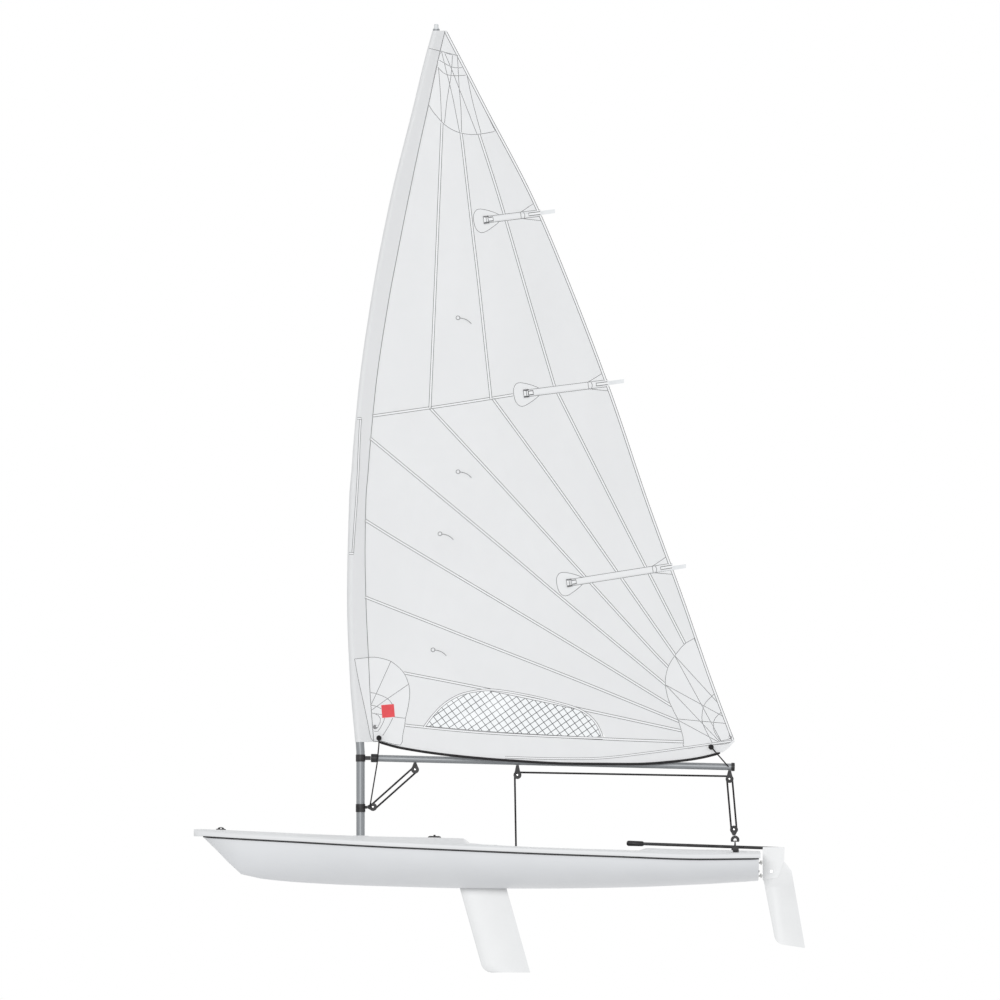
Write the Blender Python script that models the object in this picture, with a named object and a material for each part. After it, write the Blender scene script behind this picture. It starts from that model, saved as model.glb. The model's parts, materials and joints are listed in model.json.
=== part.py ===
"""A one-person sailing dinghy, afloat and rigged: hull, deck with its cockpit, foils, spars, sail and tackle.

Metres, +Z up. The origin lies on the waterline, on the centreline, near mid length. -X is the bow,
+X the stern, -Y port and +Y starboard. The boat turns about four axes: the unstayed mast turns in its
step with the boom and the sail, the rudder swings on its pintles, the blade lifts about its bolt, and
the daggerboard slides up its raked case.
"""

import math

import bmesh
import bpy
from mathutils import Matrix, Vector

# Clearances
SEAT_GAP = 0.0003
SLIDE_GAP = 0.005

# Hull: one row for each section, from bow to stern.
# place along the hull, keel height, sheer height, fullness of the section (1 is a vee, 2 an ellipse)
HULL_SECTIONS = (
    (-2.045, 0.287, 0.302, 1.30),
    (-1.900, 0.146, 0.293, 1.35),
    (-1.765, 0.014, 0.285, 1.45),
    (-1.620, -0.019, 0.277, 1.55),
    (-1.330, -0.048, 0.261, 1.75),
    (-0.880, -0.071, 0.235, 1.95),
    (-0.580, -0.080, 0.220, 2.10),
    (-0.100, -0.092, 0.199, 2.25),
    (0.460, -0.094, 0.175, 2.35),
    (1.060, -0.086, 0.153, 2.45),
    (1.650, -0.063, 0.134, 2.55),
    (2.086, -0.036, 0.138, 2.60),
)
HULL_SIDE_POINTS = 10
BILGE_END_ANGLE = math.radians(72)

# Deck: one row for each width of the plan and one for each height of the crown, from bow to stern.
BOW_X = -2.120
DECK_END_X = 2.098
# place along the deck, half width over the gunwale
DECK_WIDTHS = (
    (-2.120, 0.000),
    (-2.050, 0.105),
    (-1.900, 0.205),
    (-1.750, 0.288),
    (-1.450, 0.415),
    (-1.100, 0.522),
    (-0.580, 0.627),
    (-0.100, 0.677),
    (0.300, 0.690),
    (0.760, 0.686),
    (1.210, 0.667),
    (1.650, 0.632),
    (2.098, 0.582),
)
# place along the deck, height of the crown over the gunwale's top
DECK_CROWNS = (
    (-2.120, 0.010),
    (-1.810, 0.016),
    (-1.330, 0.020),
    (-0.880, 0.027),
    (-0.580, 0.035),
    (-0.110, 0.045),
    (-0.055, 0.013),
    (0.015, 0.007),
    (0.460, 0.003),
    (1.060, 0.007),
    (1.195, 0.008),
    (1.265, 0.028),
    (1.650, 0.027),
    (2.098, 0.012),
)
# from, to, number of steps: the sections that hull and deck share, and those of the bow's overhang
BOW_STATIONS = (BOW_X + 0.003, HULL_SECTIONS[0][0], 5)
SHARED_STATIONS = (
    (HULL_SECTIONS[0][0], -1.765, 3),
    (-1.620, -0.150, 12),
    (-0.120, -0.045, 6),
    (0.020, 1.180, 8),
    (1.200, 1.270, 5),
    (1.370, HULL_SECTIONS[-1][0], 6),
)
GUNWALE_HEIGHT = 0.036
GUNWALE_OVERHANG = 0.022
GUNWALE_HOOK = 0.006
GUNWALE_FULL_WIDTH = 0.060
# inset from the deck's edge, height over the hull's sheer: from the hook under the edge up to the crown
GUNWALE_ROLL = (
    (0.018, SEAT_GAP),
    (0.014, -GUNWALE_HOOK),
    (0.004, -GUNWALE_HOOK / 2),
    (0.000, 0.010),
    (0.004, 0.023),
    (0.016, 0.033),
    (0.032, GUNWALE_HEIGHT),
)

# Cockpit: a tub moulded with the deck, with a ledge for the sheet block in front of the footwell
WELL_FRONT_X = 0.330
WELL_AFT_X = 1.190
WELL_HALF_WIDTH = 0.225
WELL_FLOOR_Z = -0.010
WELL_MOUTH_Z = 0.210
WELL_DRAFT = math.tan(math.radians(9))
WELL_CORNER = 0.085
LEDGE_FRONT_X = 0.172
LEDGE_Z = 0.125
LEDGE_OVERLAP = 0.250
TUB_WALL = 0.009
COAMING_FLARE = 0.016
COAMING_DEPTH = 0.012

# What is fixed in the cockpit
RAIL_FRONT_X = 0.450
RAIL_LENGTH = 0.420
RAIL_FOOT = 0.034
RAIL_BAR = 0.014
RAIL_DEPTH = 0.034
RAIL_TOP_Z = 0.174
RAIL_HEIGHT = 0.022
RAIL_EDGE = 0.003
BAILER_X = 1.080
BAILER_RADIUS = 0.026
STRAP_WIDTH = 0.050
STRAP_THICKNESS = 0.003
STRAP_Z = 0.055
STRAP_SAG = 0.012

# Mast step
MAST_X = -0.875
MAST_HEEL_Z = -0.035
MAST_RADIUS = 0.03175
TOPMAST_RADIUS = 0.0254
STEP_BORE_GAP = 0.0012
STEP_WALL = 0.008
STEP_RIM_RADIUS = 0.062
STEP_RIM_HEIGHT = 0.009

# Spars and sail: one row for each height, from the boom up.
# height over the water, place of the mast's axis, place of the leech
RIG_ROWS = (
    (1.000, -0.880, 1.915),
    (1.460, -0.919, 1.743),
    (2.060, -0.941, 1.535),
    (2.800, -0.925, 1.266),
    (3.550, -0.870, 1.013),
    (4.290, -0.769, 0.735),
    (5.030, -0.628, 0.425),
    (5.740, -0.453, 0.056),
    (6.080, -0.371, -0.119),
    (6.300, -0.311, -0.234),
)
SAIL_TACK_Z = 0.998
SAIL_CLEW_Z = 1.006
SAIL_HEAD_Z = 6.300
MAST_STRAIGHT_Z = 0.925
MAST_TOP_Z = SAIL_HEAD_Z + 0.012
MAST_JOINT_ROW = 8
MAST_SIDES = 16
SLEEVE_SLACK = 0.0007
SLEEVE_DEPTH_FOOT = 0.137
SLEEVE_DEPTH_HEAD = 0.092
SLEEVE_CLOTH = 0.0024
CLOTH = 0.0030
CAMBER = 0.050
SAIL_ROW_COUNT = 23
SAIL_CHORD_POINTS = 10
# place along the foot, height of its edge
FOOT_CURVE = (
    (-0.741, 0.998),
    (-0.581, 0.954),
    (-0.209, 0.898),
    (0.200, 0.861),
    (0.700, 0.835),
    (1.150, 0.832),
    (1.500, 0.856),
    (1.830, 0.925),
    (1.915, 1.006),
)
# name, inner end, tip beyond the leech
BATTENS = (
    ("batten_top", (0.075, 4.893), (0.574, 4.954)),
    ("batten_middle", (0.372, 3.591), (1.088, 3.688)),
    ("batten_low", (0.678, 2.183), (1.550, 2.309)),
)
BATTEN_WIDTH = 0.030
BATTEN_THICKNESS = 0.004

# Boom
BOOM_FRONT = (-0.790, 0.8785)
BOOM_AFT = (1.905, 0.8122)
BOOM_RADIUS = 0.0254
BOOM_CAP_LENGTH = 0.018
BOOM_CAP_WALL = 0.006
BOOM_CAP_END = 0.008
BOOM_CAP_HOLE = 0.004
FRONT_CAP_LENGTH = 0.045
GOOSENECK_HEIGHT = 0.052
GOOSENECK_LUG = 0.030
BAND_WALL = 0.004
TANG_Z = 0.506
TANG_HEIGHT = 0.060

# Blocks and lines
ROPE_RADIUS = 0.007
LINE_RADIUS = 0.005
SHEAVE_PITCH = 0.020
CHEEK_RADIUS = 0.030
CHEEK_THICKNESS = 0.005
VANG_LOWER = (-0.782, 0.514)
VANG_UPPER = (-0.469, 0.793)
MID_BLOCK = (0.294, 0.752)
AFT_BLOCK = (1.874, 0.723)
LOWER_SHEET_BLOCK = (1.907, 0.346)
RATCHET_X = 0.268
RATCHET_RADIUS = 0.024
RATCHET_PITCH = 0.016
RATCHET_NECK = 0.014
CLEW_HOOK = (1.736, 0.961)
OUTHAUL_BOOM_X = 1.866
# place, height: the cunningham from the tack down to the vang's block
CUNNINGHAM_ROUTE = (
    (-0.738, 1.028),
    (-0.738, 0.976),
    (-0.752, 0.834),
    (-0.800, 0.545),
    (-0.806, 0.515),
)

# Foils: share of the chord, share of the half thickness. Round nose, full at a third, thin square tail
FOIL_STATIONS = (
    (0.000, 0.00),
    (0.012, 0.36),
    (0.045, 0.64),
    (0.120, 0.90),
    (0.300, 1.00),
    (0.550, 0.90),
    (0.800, 0.55),
    (1.000, 0.12),
)

# Daggerboard
BOARD_RAKE = math.radians(15.7)
BOARD_CHORD = 0.348
BOARD_THICKNESS = 0.036
BOARD_LEAD_X = -0.161
BOARD_TIP_Z = -0.719
BOARD_TIP_ROUND = 0.060
BOARD_GRIP = (0.105, 0.030)
BOARD_GRIP_DROP = 0.055
BOARD_HEAD_RIM = 0.017
BOARD_HEAD_THICKNESS = 0.010
CASE_WALL = 0.005
CASE_FLANGE = 0.006
CASE_TOP_Z = 0.2228
CASE_BOTTOM_Z = -0.087

# Rudder
RUDDER_AXIS_X = 2.109
HEAD_SET_BACK = 0.012
HEAD_LENGTH = 0.163
HEAD_FRONT_X = RUDDER_AXIS_X + HEAD_SET_BACK
HEAD_AFT_X = HEAD_FRONT_X + HEAD_LENGTH
HEAD_TOP_Z = 0.216
HEAD_BOTTOM_Z = -0.032
HEAD_HEEL_CUT = (0.050, 0.020)
HEAD_KNEE = (0.004, 0.111)
BLADE_THICKNESS = 0.0216
BLADE_SIDE_GAP = 0.001
CHEEK_GAP = BLADE_THICKNESS + 2 * BLADE_SIDE_GAP
CHEEK_PLATE = 0.004
BLADE_SET_BACK = 0.064
BLADE_PIVOT = (HEAD_FRONT_X + BLADE_SET_BACK, 0.035)
BLADE_TOP_RADIUS = 0.055
# place aft of the bolt, height over it, radius of the corner: the top of the leading edge, the two corners
# of the tip, the top of the tail and the shoulder
BLADE_CORNERS = (
    (-0.058, -0.065, 0.006),
    (0.033, -0.539, 0.075),
    (0.252, -0.572, 0.006),
    (0.151, 0.002, 0.006),
    (0.098, 0.071, 0.006),
)
BLADE_FLAT_DEPTH = 0.080
BLADE_FAIRING = 0.040
FOIL_TRIM = 0.0005
TROUGH_Z = 0.1922
WEB_THICKNESS = 0.003
FRONT_WEB = 0.0035
PINTLE_RADIUS = 0.004
PINTLE_HEIGHTS = (("lower", 0.000), ("upper", 0.098))
GUDGEON_HEIGHT = 0.014
GUDGEON_RING = 0.009
BOLT_RADIUS = 0.005
BOLT_HEAD = (0.010, 0.005)
TILLER_RADIUS = 0.0115
TILLER_Z = 0.2097
TILLER_RISE = 0.0345
TILLER_FRONT_X = 1.235
TILLER_AFT_X = 2.276
GRIP_FRONT_X = 1.106
GRIP_RADIUS = 0.019

# Traveller
TRAVELLER_X = 1.915
TRAVELLER_HALF_SPAN = 0.520
TRAVELLER_APEX_Z = 0.2620
FAIRLEAD_HEIGHT = 0.042
TRAVELLER_LINE_RADIUS = 0.004
SHACKLE_RADIUS = 0.033
SHACKLE_BORE = 0.012
SHACKLE_HALF_WIDTH = 0.008

# Deck fittings: front, aft, height, half width
BOW_EYE = (-1.952, -1.877, 0.020, 0.011)
CLEAT_PLATE = (-0.372, -0.276, 0.011, 0.040)
CLEAT_PLATE_RAMP = 0.012
FITTING_BASE = 0.004
BUNG_PLACE = (0.115, 0.035)
BUNG_RADIUS = 0.017

MATERIALS = {
    "hull_gelcoat": ((0.815, 0.825, 0.840), 0.22, 0.0),
    "deck_gelcoat": ((0.850, 0.855, 0.860), 0.30, 0.0),
    "foil_gelcoat": ((0.900, 0.900, 0.895), 0.25, 0.0),
    "sailcloth": ((0.930, 0.930, 0.925), 0.70, 0.0),
    "spar_alloy": ((0.290, 0.305, 0.320), 0.38, 0.85),
    "black_plastic": ((0.018, 0.016, 0.017), 0.45, 0.0),
    "steel": ((0.620, 0.620, 0.610), 0.28, 1.0),
    "black_rope": ((0.020, 0.018, 0.019), 0.85, 0.0),
    "webbing": ((0.030, 0.030, 0.034), 0.90, 0.0),
    "batten_plastic": ((0.760, 0.770, 0.780), 0.45, 0.0),
}


def clear_scene():
    for obj in list(bpy.data.objects):
        bpy.data.objects.remove(obj, do_unlink=True)


def material(name):
    found = bpy.data.materials.get(name)
    if found:
        return found
    colour, roughness, metallic = MATERIALS[name]
    made = bpy.data.materials.new(name)
    made.use_nodes = True
    shader = made.node_tree.nodes["Principled BSDF"]
    shader.inputs["Base Color"].default_value = (*colour, 1.0)
    shader.inputs["Roughness"].default_value = roughness
    shader.inputs["Metallic"].default_value = metallic
    return made


def pivot(name, place, parent=None):
    """An empty on a joint's axis, which the pieces that turn or slide there hang from."""
    empty = bpy.data.objects.new(name, None)
    bpy.context.scene.collection.objects.link(empty)
    empty.empty_display_size = 0.1
    empty.location = Vector(place) - (parent.location if parent else Vector())
    empty.parent = parent
    return empty


def world_place(obj):
    place = Vector()
    while obj:
        place += obj.location
        obj = obj.parent
    return place


def add(name, points, faces, finish, parent=None, cutter=False):
    """An object from world points, held by its parent with its own origin there."""
    mesh = bpy.data.meshes.new(name)
    origin = world_place(parent)
    mesh.from_pydata([Vector(point) - origin for point in points], [], faces)
    work = bmesh.new()
    work.from_mesh(mesh)
    bmesh.ops.recalc_face_normals(work, faces=work.faces)
    work.to_mesh(mesh)
    work.free()
    mesh.shade_smooth()
    mesh.set_sharp_from_angle(angle=math.radians(32))
    obj = bpy.data.objects.new(name, mesh)
    obj.parent = parent
    bpy.context.scene.collection.objects.link(obj)
    if cutter:
        obj.hide_render = True
        obj.display_type = "WIRE"
    else:
        mesh.materials.append(material(finish))
    return obj


def boolean(obj, other, operation):
    modifier = obj.modifiers.new(f"{operation.lower()}_{other.name}", "BOOLEAN")
    modifier.operation = operation
    modifier.solver = "EXACT"
    modifier.object = other
    other.hide_render = True
    other.display_type = "WIRE"


def bevel(obj, width, segments=2, angle=40):
    modifier = obj.modifiers.new("rounded_edges", "BEVEL")
    modifier.width = width
    modifier.segments = segments
    modifier.limit_method = "ANGLE"
    modifier.angle_limit = math.radians(angle)


def curve_value(table, x, column=1):
    """A smooth value through a table's rows that never swings past them."""
    rows = [(row[0], row[column]) for row in table]
    x = min(max(x, rows[0][0]), rows[-1][0])
    slopes = [(b[1] - a[1]) / (b[0] - a[0]) for a, b in zip(rows, rows[1:])]
    last = len(slopes) - 1
    k = min(next((i for i, row in enumerate(rows[1:]) if x <= row[0]), last), last)

    def tangent(i):
        if i in (0, len(rows) - 1):
            return slopes[0] if i == 0 else slopes[last]
        before, after = slopes[i - 1], slopes[i]
        if before * after <= 0:
            return 0.0
        return 2 * before * after / (before + after)

    span = rows[k + 1][0] - rows[k][0]
    t = (x - rows[k][0]) / span
    start, end = rows[k][1], rows[k + 1][1]
    return (
        start * (1 + 2 * t) * (1 - t) ** 2
        + end * t * t * (3 - 2 * t)
        + span * t * (1 - t) * (tangent(k) * (1 - t) - tangent(k + 1) * t)
    )


def blend(a, b, t):
    return a + (b - a) * t


def loft(name, rings, finish, parent=None, cutter=False):
    """A closed skin through rings of equal counts, capped at both ends."""
    count = len(rings[0])
    points = [point for ring in rings for point in ring]
    faces = [
        (r * count + i, r * count + (i + 1) % count, (r + 1) * count + (i + 1) % count, (r + 1) * count + i)
        for r in range(len(rings) - 1)
        for i in range(count)
    ]
    faces.append(tuple(range(count))[::-1])
    faces.append(tuple((len(rings) - 1) * count + i for i in range(count)))
    return add(name, points, faces, finish, parent, cutter)


def circle(radius, count, start=0.0, end=2 * math.pi):
    """Points round an arc. A full circle's last point isn't repeated."""
    steps = count if math.isclose(end - start, 2 * math.pi) else count - 1
    angles = [start + (end - start) * i / steps for i in range(count)]
    return [(radius * math.cos(a), radius * math.sin(a)) for a in angles]


def rounded_corners(corners, radius, steps=4):
    """A polygon's outline with each corner turned into an arc, of one radius or each of its own."""
    outline = []
    count = len(corners)
    radii = radius if isinstance(radius, list) else [radius] * count
    for i, (corner, radius) in enumerate(zip(corners, radii)):
        here = Vector(corner)
        before = (Vector(corners[i - 1]) - here).normalized()
        after = (Vector(corners[(i + 1) % count]) - here).normalized()
        half = before.angle(after) / 2
        reach = radius / math.tan(half)
        centre = here + (before + after).normalized() * radius / math.sin(half)
        first = here + before * reach - centre
        last = here + after * reach - centre
        turn = first.angle_signed(last)
        for k in range(steps + 1):
            angle = -turn * k / steps
            outline.append(tuple(centre + Matrix.Rotation(angle, 2) @ first))
    return outline


def plate(name, outline, low, high, finish, across="Y", parent=None, cutter=False):
    """An outline swept straight across: XZ outlines along Y, XY outlines along Z, YZ outlines along X."""
    place = {
        "Y": lambda u, v, w: (u, w, v),
        "Z": lambda u, v, w: (u, v, w),
        "X": lambda u, v, w: (w, u, v),
    }[across]
    rings = [[place(u, v, w) for u, v in outline] for w in (low, high)]
    return loft(name, rings, finish, parent, cutter)


def rod(name, start, end, radius, finish, sides=20, parent=None, cutter=False, radius_end=None):
    """A round bar between two points, straight or tapered."""
    start, end = Vector(start), Vector(end)
    turn = (end - start).to_track_quat("Z", "Y")
    rings = []
    for centre, size in ((start, radius), (end, radius if radius_end is None else radius_end)):
        rings.append([centre + turn @ Vector((x, y, 0)) for x, y in circle(size, sides)])
    return loft(name, rings, finish, parent, cutter)


def turned(name, profile, centre, direction, finish, sides=20, parent=None, cutter=False):
    """A profile of (along, radius) rows turned about an axis, from one end cap to the other."""
    turn = Vector(direction).to_track_quat("Z", "Y")
    rings = [
        [Vector(centre) + turn @ Vector((x, y, along)) for x, y in circle(radius, sides)]
        for along, radius in profile
    ]
    return loft(name, rings, finish, parent, cutter)


def pipe(name, profile, centre, direction, finish, sides=24, parent=None):
    """A closed profile of (along, radius) rows that never meets its axis, turned into a ring."""
    turn = Vector(direction).to_track_quat("Z", "Y")
    count = len(profile)
    points = [
        Vector(centre) + turn @ Vector((x * radius, y * radius, along))
        for x, y in circle(1.0, sides)
        for along, radius in profile
    ]
    faces = [
        (s * count + i, s * count + (i + 1) % count, t * count + (i + 1) % count, t * count + i)
        for s, t in ((s, (s + 1) % sides) for s in range(sides))
        for i in range(count)
    ]
    return add(name, points, faces, finish, parent)


def line(name, route, radius, finish="black_rope", parent=None, closed=False):
    """A rope under load, as a bevelled curve with filled caps."""
    curve = bpy.data.curves.new(name, "CURVE")
    curve.dimensions = "3D"
    curve.bevel_depth = radius
    curve.bevel_resolution = 2
    curve.use_fill_caps = True
    origin = world_place(parent)
    spline = curve.splines.new("POLY")
    spline.points.add(len(route) - 1)
    for point, place in zip(spline.points, route):
        point.co = (*(Vector(place) - origin), 1.0)
    spline.use_cyclic_u = closed
    curve.materials.append(material(finish))
    obj = bpy.data.objects.new(name, curve)
    obj.parent = parent
    bpy.context.scene.collection.objects.link(obj)
    return obj


def sheer_z(x):
    return curve_value(HULL_SECTIONS, x, 2)


def half_width(x):
    """Half width over the gunwale. Its table is read over the root of the distance, which rounds the bow."""
    rooted = [(math.sqrt(place - BOW_X), width) for place, width in DECK_WIDTHS]
    return curve_value(rooted, math.sqrt(max(x - BOW_X, 0.0)))


def gunwale_scale(x):
    return min(1.0, half_width(x) / GUNWALE_FULL_WIDTH)


def deck_edge(x):
    """Half width of the deck inside its gunwale roll."""
    return half_width(x) - GUNWALE_ROLL[-1][0] * gunwale_scale(x)


def deck_z(x, y=0.0):
    crown = curve_value(DECK_CROWNS, x)
    return sheer_z(x) + GUNWALE_HEIGHT + crown * (1 - (y / deck_edge(x)) ** 2)


def deck_slope(x):
    step = 0.02
    return (deck_z(x + step) - deck_z(x - step)) / (2 * step)


def hull_section(x):
    keel, sheer = curve_value(HULL_SECTIONS, x, 1), sheer_z(x)
    fullness = curve_value(HULL_SECTIONS, x, 3)
    half = half_width(x) - GUNWALE_OVERHANG * gunwale_scale(x)
    power = 2 / fullness
    end_out = math.sin(BILGE_END_ANGLE) ** power
    end_up = 1 - math.cos(BILGE_END_ANGLE) ** power
    side = []
    for i in range(HULL_SIDE_POINTS + 1):
        angle = BILGE_END_ANGLE * i / HULL_SIDE_POINTS
        out = math.sin(angle) ** power / end_out
        up = (1 - math.cos(angle) ** power) / end_up
        side.append((half * out, keel + (sheer - keel) * up))
    port = [(x, -y, z) for y, z in side[:0:-1]]
    return port + [(x, y, z) for y, z in side]


def deck_section(x):
    """Across the deck moulding: flat on the hull's sheer, hooked over its edge, rolled and crowned."""
    base, edge, scale = sheer_z(x), half_width(x), gunwale_scale(x)
    side = [(0.0, base + SEAT_GAP)]
    side += [(edge - inset * scale, base + height) for inset, height in GUNWALE_ROLL]
    inner = deck_edge(x)
    side += [(inner * part, deck_z(x, inner * part)) for part in (0.8, 0.6, 0.4, 0.2)]
    top = [(x, 0.0, deck_z(x))]
    return [(x, y, z) for y, z in side] + top + [(x, -y, z) for y, z in side[:0:-1]]


def well_outline(front, aft, half, grow):
    corners = [
        (front - grow, -half - grow),
        (aft + grow, -half - grow),
        (aft + grow, half + grow),
        (front - grow, half + grow),
    ]
    return rounded_corners(corners, WELL_CORNER + grow, 5)


def well_block(name, front, aft, floor, top, grow, flare=0.0):
    """A block with round corners whose walls lean in by the draft, down to its floor."""
    levels = [(floor - grow, 0.0), (top, 0.0)]
    if flare:
        levels[1:] = [(top - COAMING_DEPTH, 0.0), (top + 2 * COAMING_DEPTH, flare)]
    rings = [
        [
            (x, y, z)
            for x, y in well_outline(
                front, aft, WELL_HALF_WIDTH, grow + more - (WELL_MOUTH_Z - z) * WELL_DRAFT
            )
        ]
        for z, more in levels
    ]
    return loft(name, rings, None, cutter=True)


def board_shift(z):
    """How far aft the raked board lies at a height, from its place at the waterline."""
    return -z * math.tan(BOARD_RAKE)


def board_outline(z, grow, radius, steps=3):
    """A level outline round the daggerboard at a height, grown by a gap, with round corners."""
    front = BOARD_LEAD_X + board_shift(z) - grow
    aft = front + BOARD_CHORD + 2 * grow
    half = BOARD_THICKNESS / 2 + grow
    return rounded_corners([(front, -half), (aft, -half), (aft, half), (front, half)], radius, steps)


def slanted_block(name, low, high, grow, radius, finish=None, cutter=True):
    rings = [[(x, y, z) for x, y in board_outline(z, grow, radius)] for z in (low, high)]
    return loft(name, rings, finish, cutter=cutter)


def case_recess(grow):
    """The level recess in the deck that the case's flange and the board's head lie in."""
    rim = BOARD_HEAD_RIM + SLIDE_GAP + grow
    shift = board_shift(CASE_TOP_Z)
    climb = deck_z(-0.15) - CASE_TOP_Z
    front = BOARD_LEAD_X + shift - rim - climb * math.tan(BOARD_RAKE)
    aft = BOARD_LEAD_X + BOARD_CHORD + shift + rim
    half = BOARD_THICKNESS / 2 + rim
    corners = [(front, -half), (aft, -half), (aft, half), (front, half)]
    return rounded_corners(corners, 0.018, 4)


def steps_between(start, end, count):
    return [blend(start, end, i / count) for i in range(count + 1)]


def shared_places():
    return [x for run in SHARED_STATIONS for x in steps_between(*run)]


def tub_blocks(name, top, grow):
    """The outside of the tub: the deep footwell and, in front of it, the shallow ledge."""
    return [
        well_block(name + "_well", WELL_FRONT_X, WELL_AFT_X, WELL_FLOOR_Z, top, grow),
        well_block(name + "_ledge", LEDGE_FRONT_X, WELL_FRONT_X + LEDGE_OVERLAP, LEDGE_Z, top, grow),
    ]


def make_hull():
    hull = loft("hull", [hull_section(x) for x in shared_places()], "hull_gelcoat")
    for pocket in tub_blocks("pocket", 0.30, TUB_WALL + SEAT_GAP):
        boolean(hull, pocket, "DIFFERENCE")
    slot = slanted_block(
        "slot_for_case", -0.20, 0.30, SLIDE_GAP + CASE_WALL + SEAT_GAP, 0.010
    )
    boolean(hull, slot, "DIFFERENCE")
    outer = MAST_RADIUS + STEP_BORE_GAP + STEP_WALL + SEAT_GAP
    floor = MAST_HEEL_Z - SEAT_GAP - STEP_WALL - SEAT_GAP
    socket = rod("socket_for_step", (MAST_X, 0, floor), (MAST_X, 0, 0.45), outer, None, 28, cutter=True)
    boolean(hull, socket, "DIFFERENCE")


def make_deck():
    places = steps_between(*BOW_STATIONS)[:-1] + shared_places() + [DECK_END_X]
    deck = loft("deck", [deck_section(x) for x in places], "deck_gelcoat")
    top = deck_z(WELL_FRONT_X)
    for tub in tub_blocks("tub", sheer_z(WELL_AFT_X) + 0.010, TUB_WALL):
        boolean(deck, tub, "UNION")
    well = well_block("well", WELL_FRONT_X, WELL_AFT_X, WELL_FLOOR_Z, top, 0.0, COAMING_FLARE)
    boolean(deck, well, "DIFFERENCE")
    ledge = well_block(
        "ledge", LEDGE_FRONT_X, WELL_FRONT_X + LEDGE_OVERLAP, LEDGE_Z, top, 0.0, COAMING_FLARE
    )
    boolean(deck, ledge, "DIFFERENCE")
    recess = plate(
        "recess_for_board", case_recess(0.0), CASE_TOP_Z - CASE_FLANGE - SEAT_GAP, 0.40,
        None, "Z", cutter=True,
    )
    boolean(deck, recess, "DIFFERENCE")
    slot = slanted_block(
        "deck_slot_for_case", 0.10, 0.30, SLIDE_GAP + CASE_WALL + SEAT_GAP, 0.010
    )
    boolean(deck, slot, "DIFFERENCE")
    outer = MAST_RADIUS + STEP_BORE_GAP + STEP_WALL + SEAT_GAP
    hole = rod("hole_for_step", (MAST_X, 0, 0.10), (MAST_X, 0, 0.45), outer, None, 28, cutter=True)
    boolean(deck, hole, "DIFFERENCE")
    seat = rod(
        "seat_for_rim", (MAST_X, 0, step_rim_z()), (MAST_X, 0, 0.45),
        STEP_RIM_RADIUS + SEAT_GAP, None, 28, cutter=True,
    )
    boolean(deck, seat, "DIFFERENCE")


def step_rim_z():
    """Height of the seat cut level in the sloping deck for the mast step's rim."""
    return deck_z(MAST_X + STEP_RIM_RADIUS) - 0.004


def make_mast_step():
    bore = MAST_RADIUS + STEP_BORE_GAP
    outer = bore + STEP_WALL
    floor = MAST_HEEL_Z - SEAT_GAP
    rim = step_rim_z() + SEAT_GAP
    profile = (
        (floor - STEP_WALL, 0.004),
        (floor - STEP_WALL, outer),
        (rim, outer),
        (rim, STEP_RIM_RADIUS),
        (rim + STEP_RIM_HEIGHT * 0.6, STEP_RIM_RADIUS),
        (rim + STEP_RIM_HEIGHT, STEP_RIM_RADIUS - 0.005),
        (rim + STEP_RIM_HEIGHT, bore),
        (floor, bore),
        (floor, 0.004),
    )
    pipe("mast_step", profile, (MAST_X, 0, 0), (0, 0, 1), "deck_gelcoat", 28)


def make_daggerboard_case():
    grow = SLIDE_GAP + CASE_WALL
    case = slanted_block(
        "daggerboard_case", CASE_BOTTOM_Z, CASE_TOP_Z, grow, 0.010, "deck_gelcoat", cutter=False
    )
    flange = plate(
        "case_flange", case_recess(-SEAT_GAP), CASE_TOP_Z - CASE_FLANGE, CASE_TOP_Z,
        None, "Z", cutter=True,
    )
    boolean(case, flange, "UNION")
    bore = slanted_block("case_bore", -0.25, 0.35, SLIDE_GAP, 0.008)
    boolean(case, bore, "DIFFERENCE")


def foil_section(front, aft, half, z):
    """A foil's outline at one height, from its nose down one side, round the tail and back."""
    port = [(blend(front, aft, along), -half * thick, z) for along, thick in FOIL_STATIONS]
    return port + [(x, -y, z) for x, y, z in port[:0:-1]]


def board_section(z, lead_in=0.0):
    front = BOARD_LEAD_X + board_shift(z)
    return foil_section(front + lead_in, front + BOARD_CHORD, BOARD_THICKNESS / 2, z)


def make_daggerboard():
    slide = pivot("daggerboard_slide", (BOARD_LEAD_X + BOARD_CHORD / 2, 0, 0))
    seat = CASE_TOP_Z + SEAT_GAP
    top = seat + BOARD_HEAD_THICKNESS
    rings = []
    for part in (1.0, 0.8, 0.5, 0.25, 0.08, 0.0):
        lead_in = BOARD_TIP_ROUND * (1 - math.sqrt(1 - (1 - part) ** 2))
        rings.append((BOARD_TIP_Z + BOARD_TIP_ROUND * part, lead_in))
    levels = [(top - 0.002, 0.0)] + rings
    board = loft(
        "daggerboard", [board_section(z, lead_in) for z, lead_in in levels[::-1]],
        "foil_gelcoat", slide,
    )
    outline = board_outline(seat, BOARD_HEAD_RIM, 0.014, 4)
    head = plate("daggerboard_head_rim", outline, seat, top, None, "Z", slide, cutter=True)
    boolean(board, head, "UNION")
    length, height = BOARD_GRIP
    grip_top = seat - BOARD_GRIP_DROP
    front = BOARD_LEAD_X + (BOARD_CHORD - length) / 2
    outline = [
        (x + board_shift(z), z)
        for x, z in rounded_corners([
            (front, grip_top - height), (front + length, grip_top - height),
            (front + length, grip_top), (front, grip_top),
        ], height * 0.45, 4)
    ]
    grip = plate("daggerboard_grip", outline, -0.05, 0.05, None, "Y", slide, cutter=True)
    boolean(board, grip, "DIFFERENCE")


def luff_heights():
    """The sail's rows at its luff, which the mast's rings share so that the sleeve lies on them."""
    return steps_between(SAIL_TACK_Z, SAIL_HEAD_Z, SAIL_ROW_COUNT)


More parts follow.
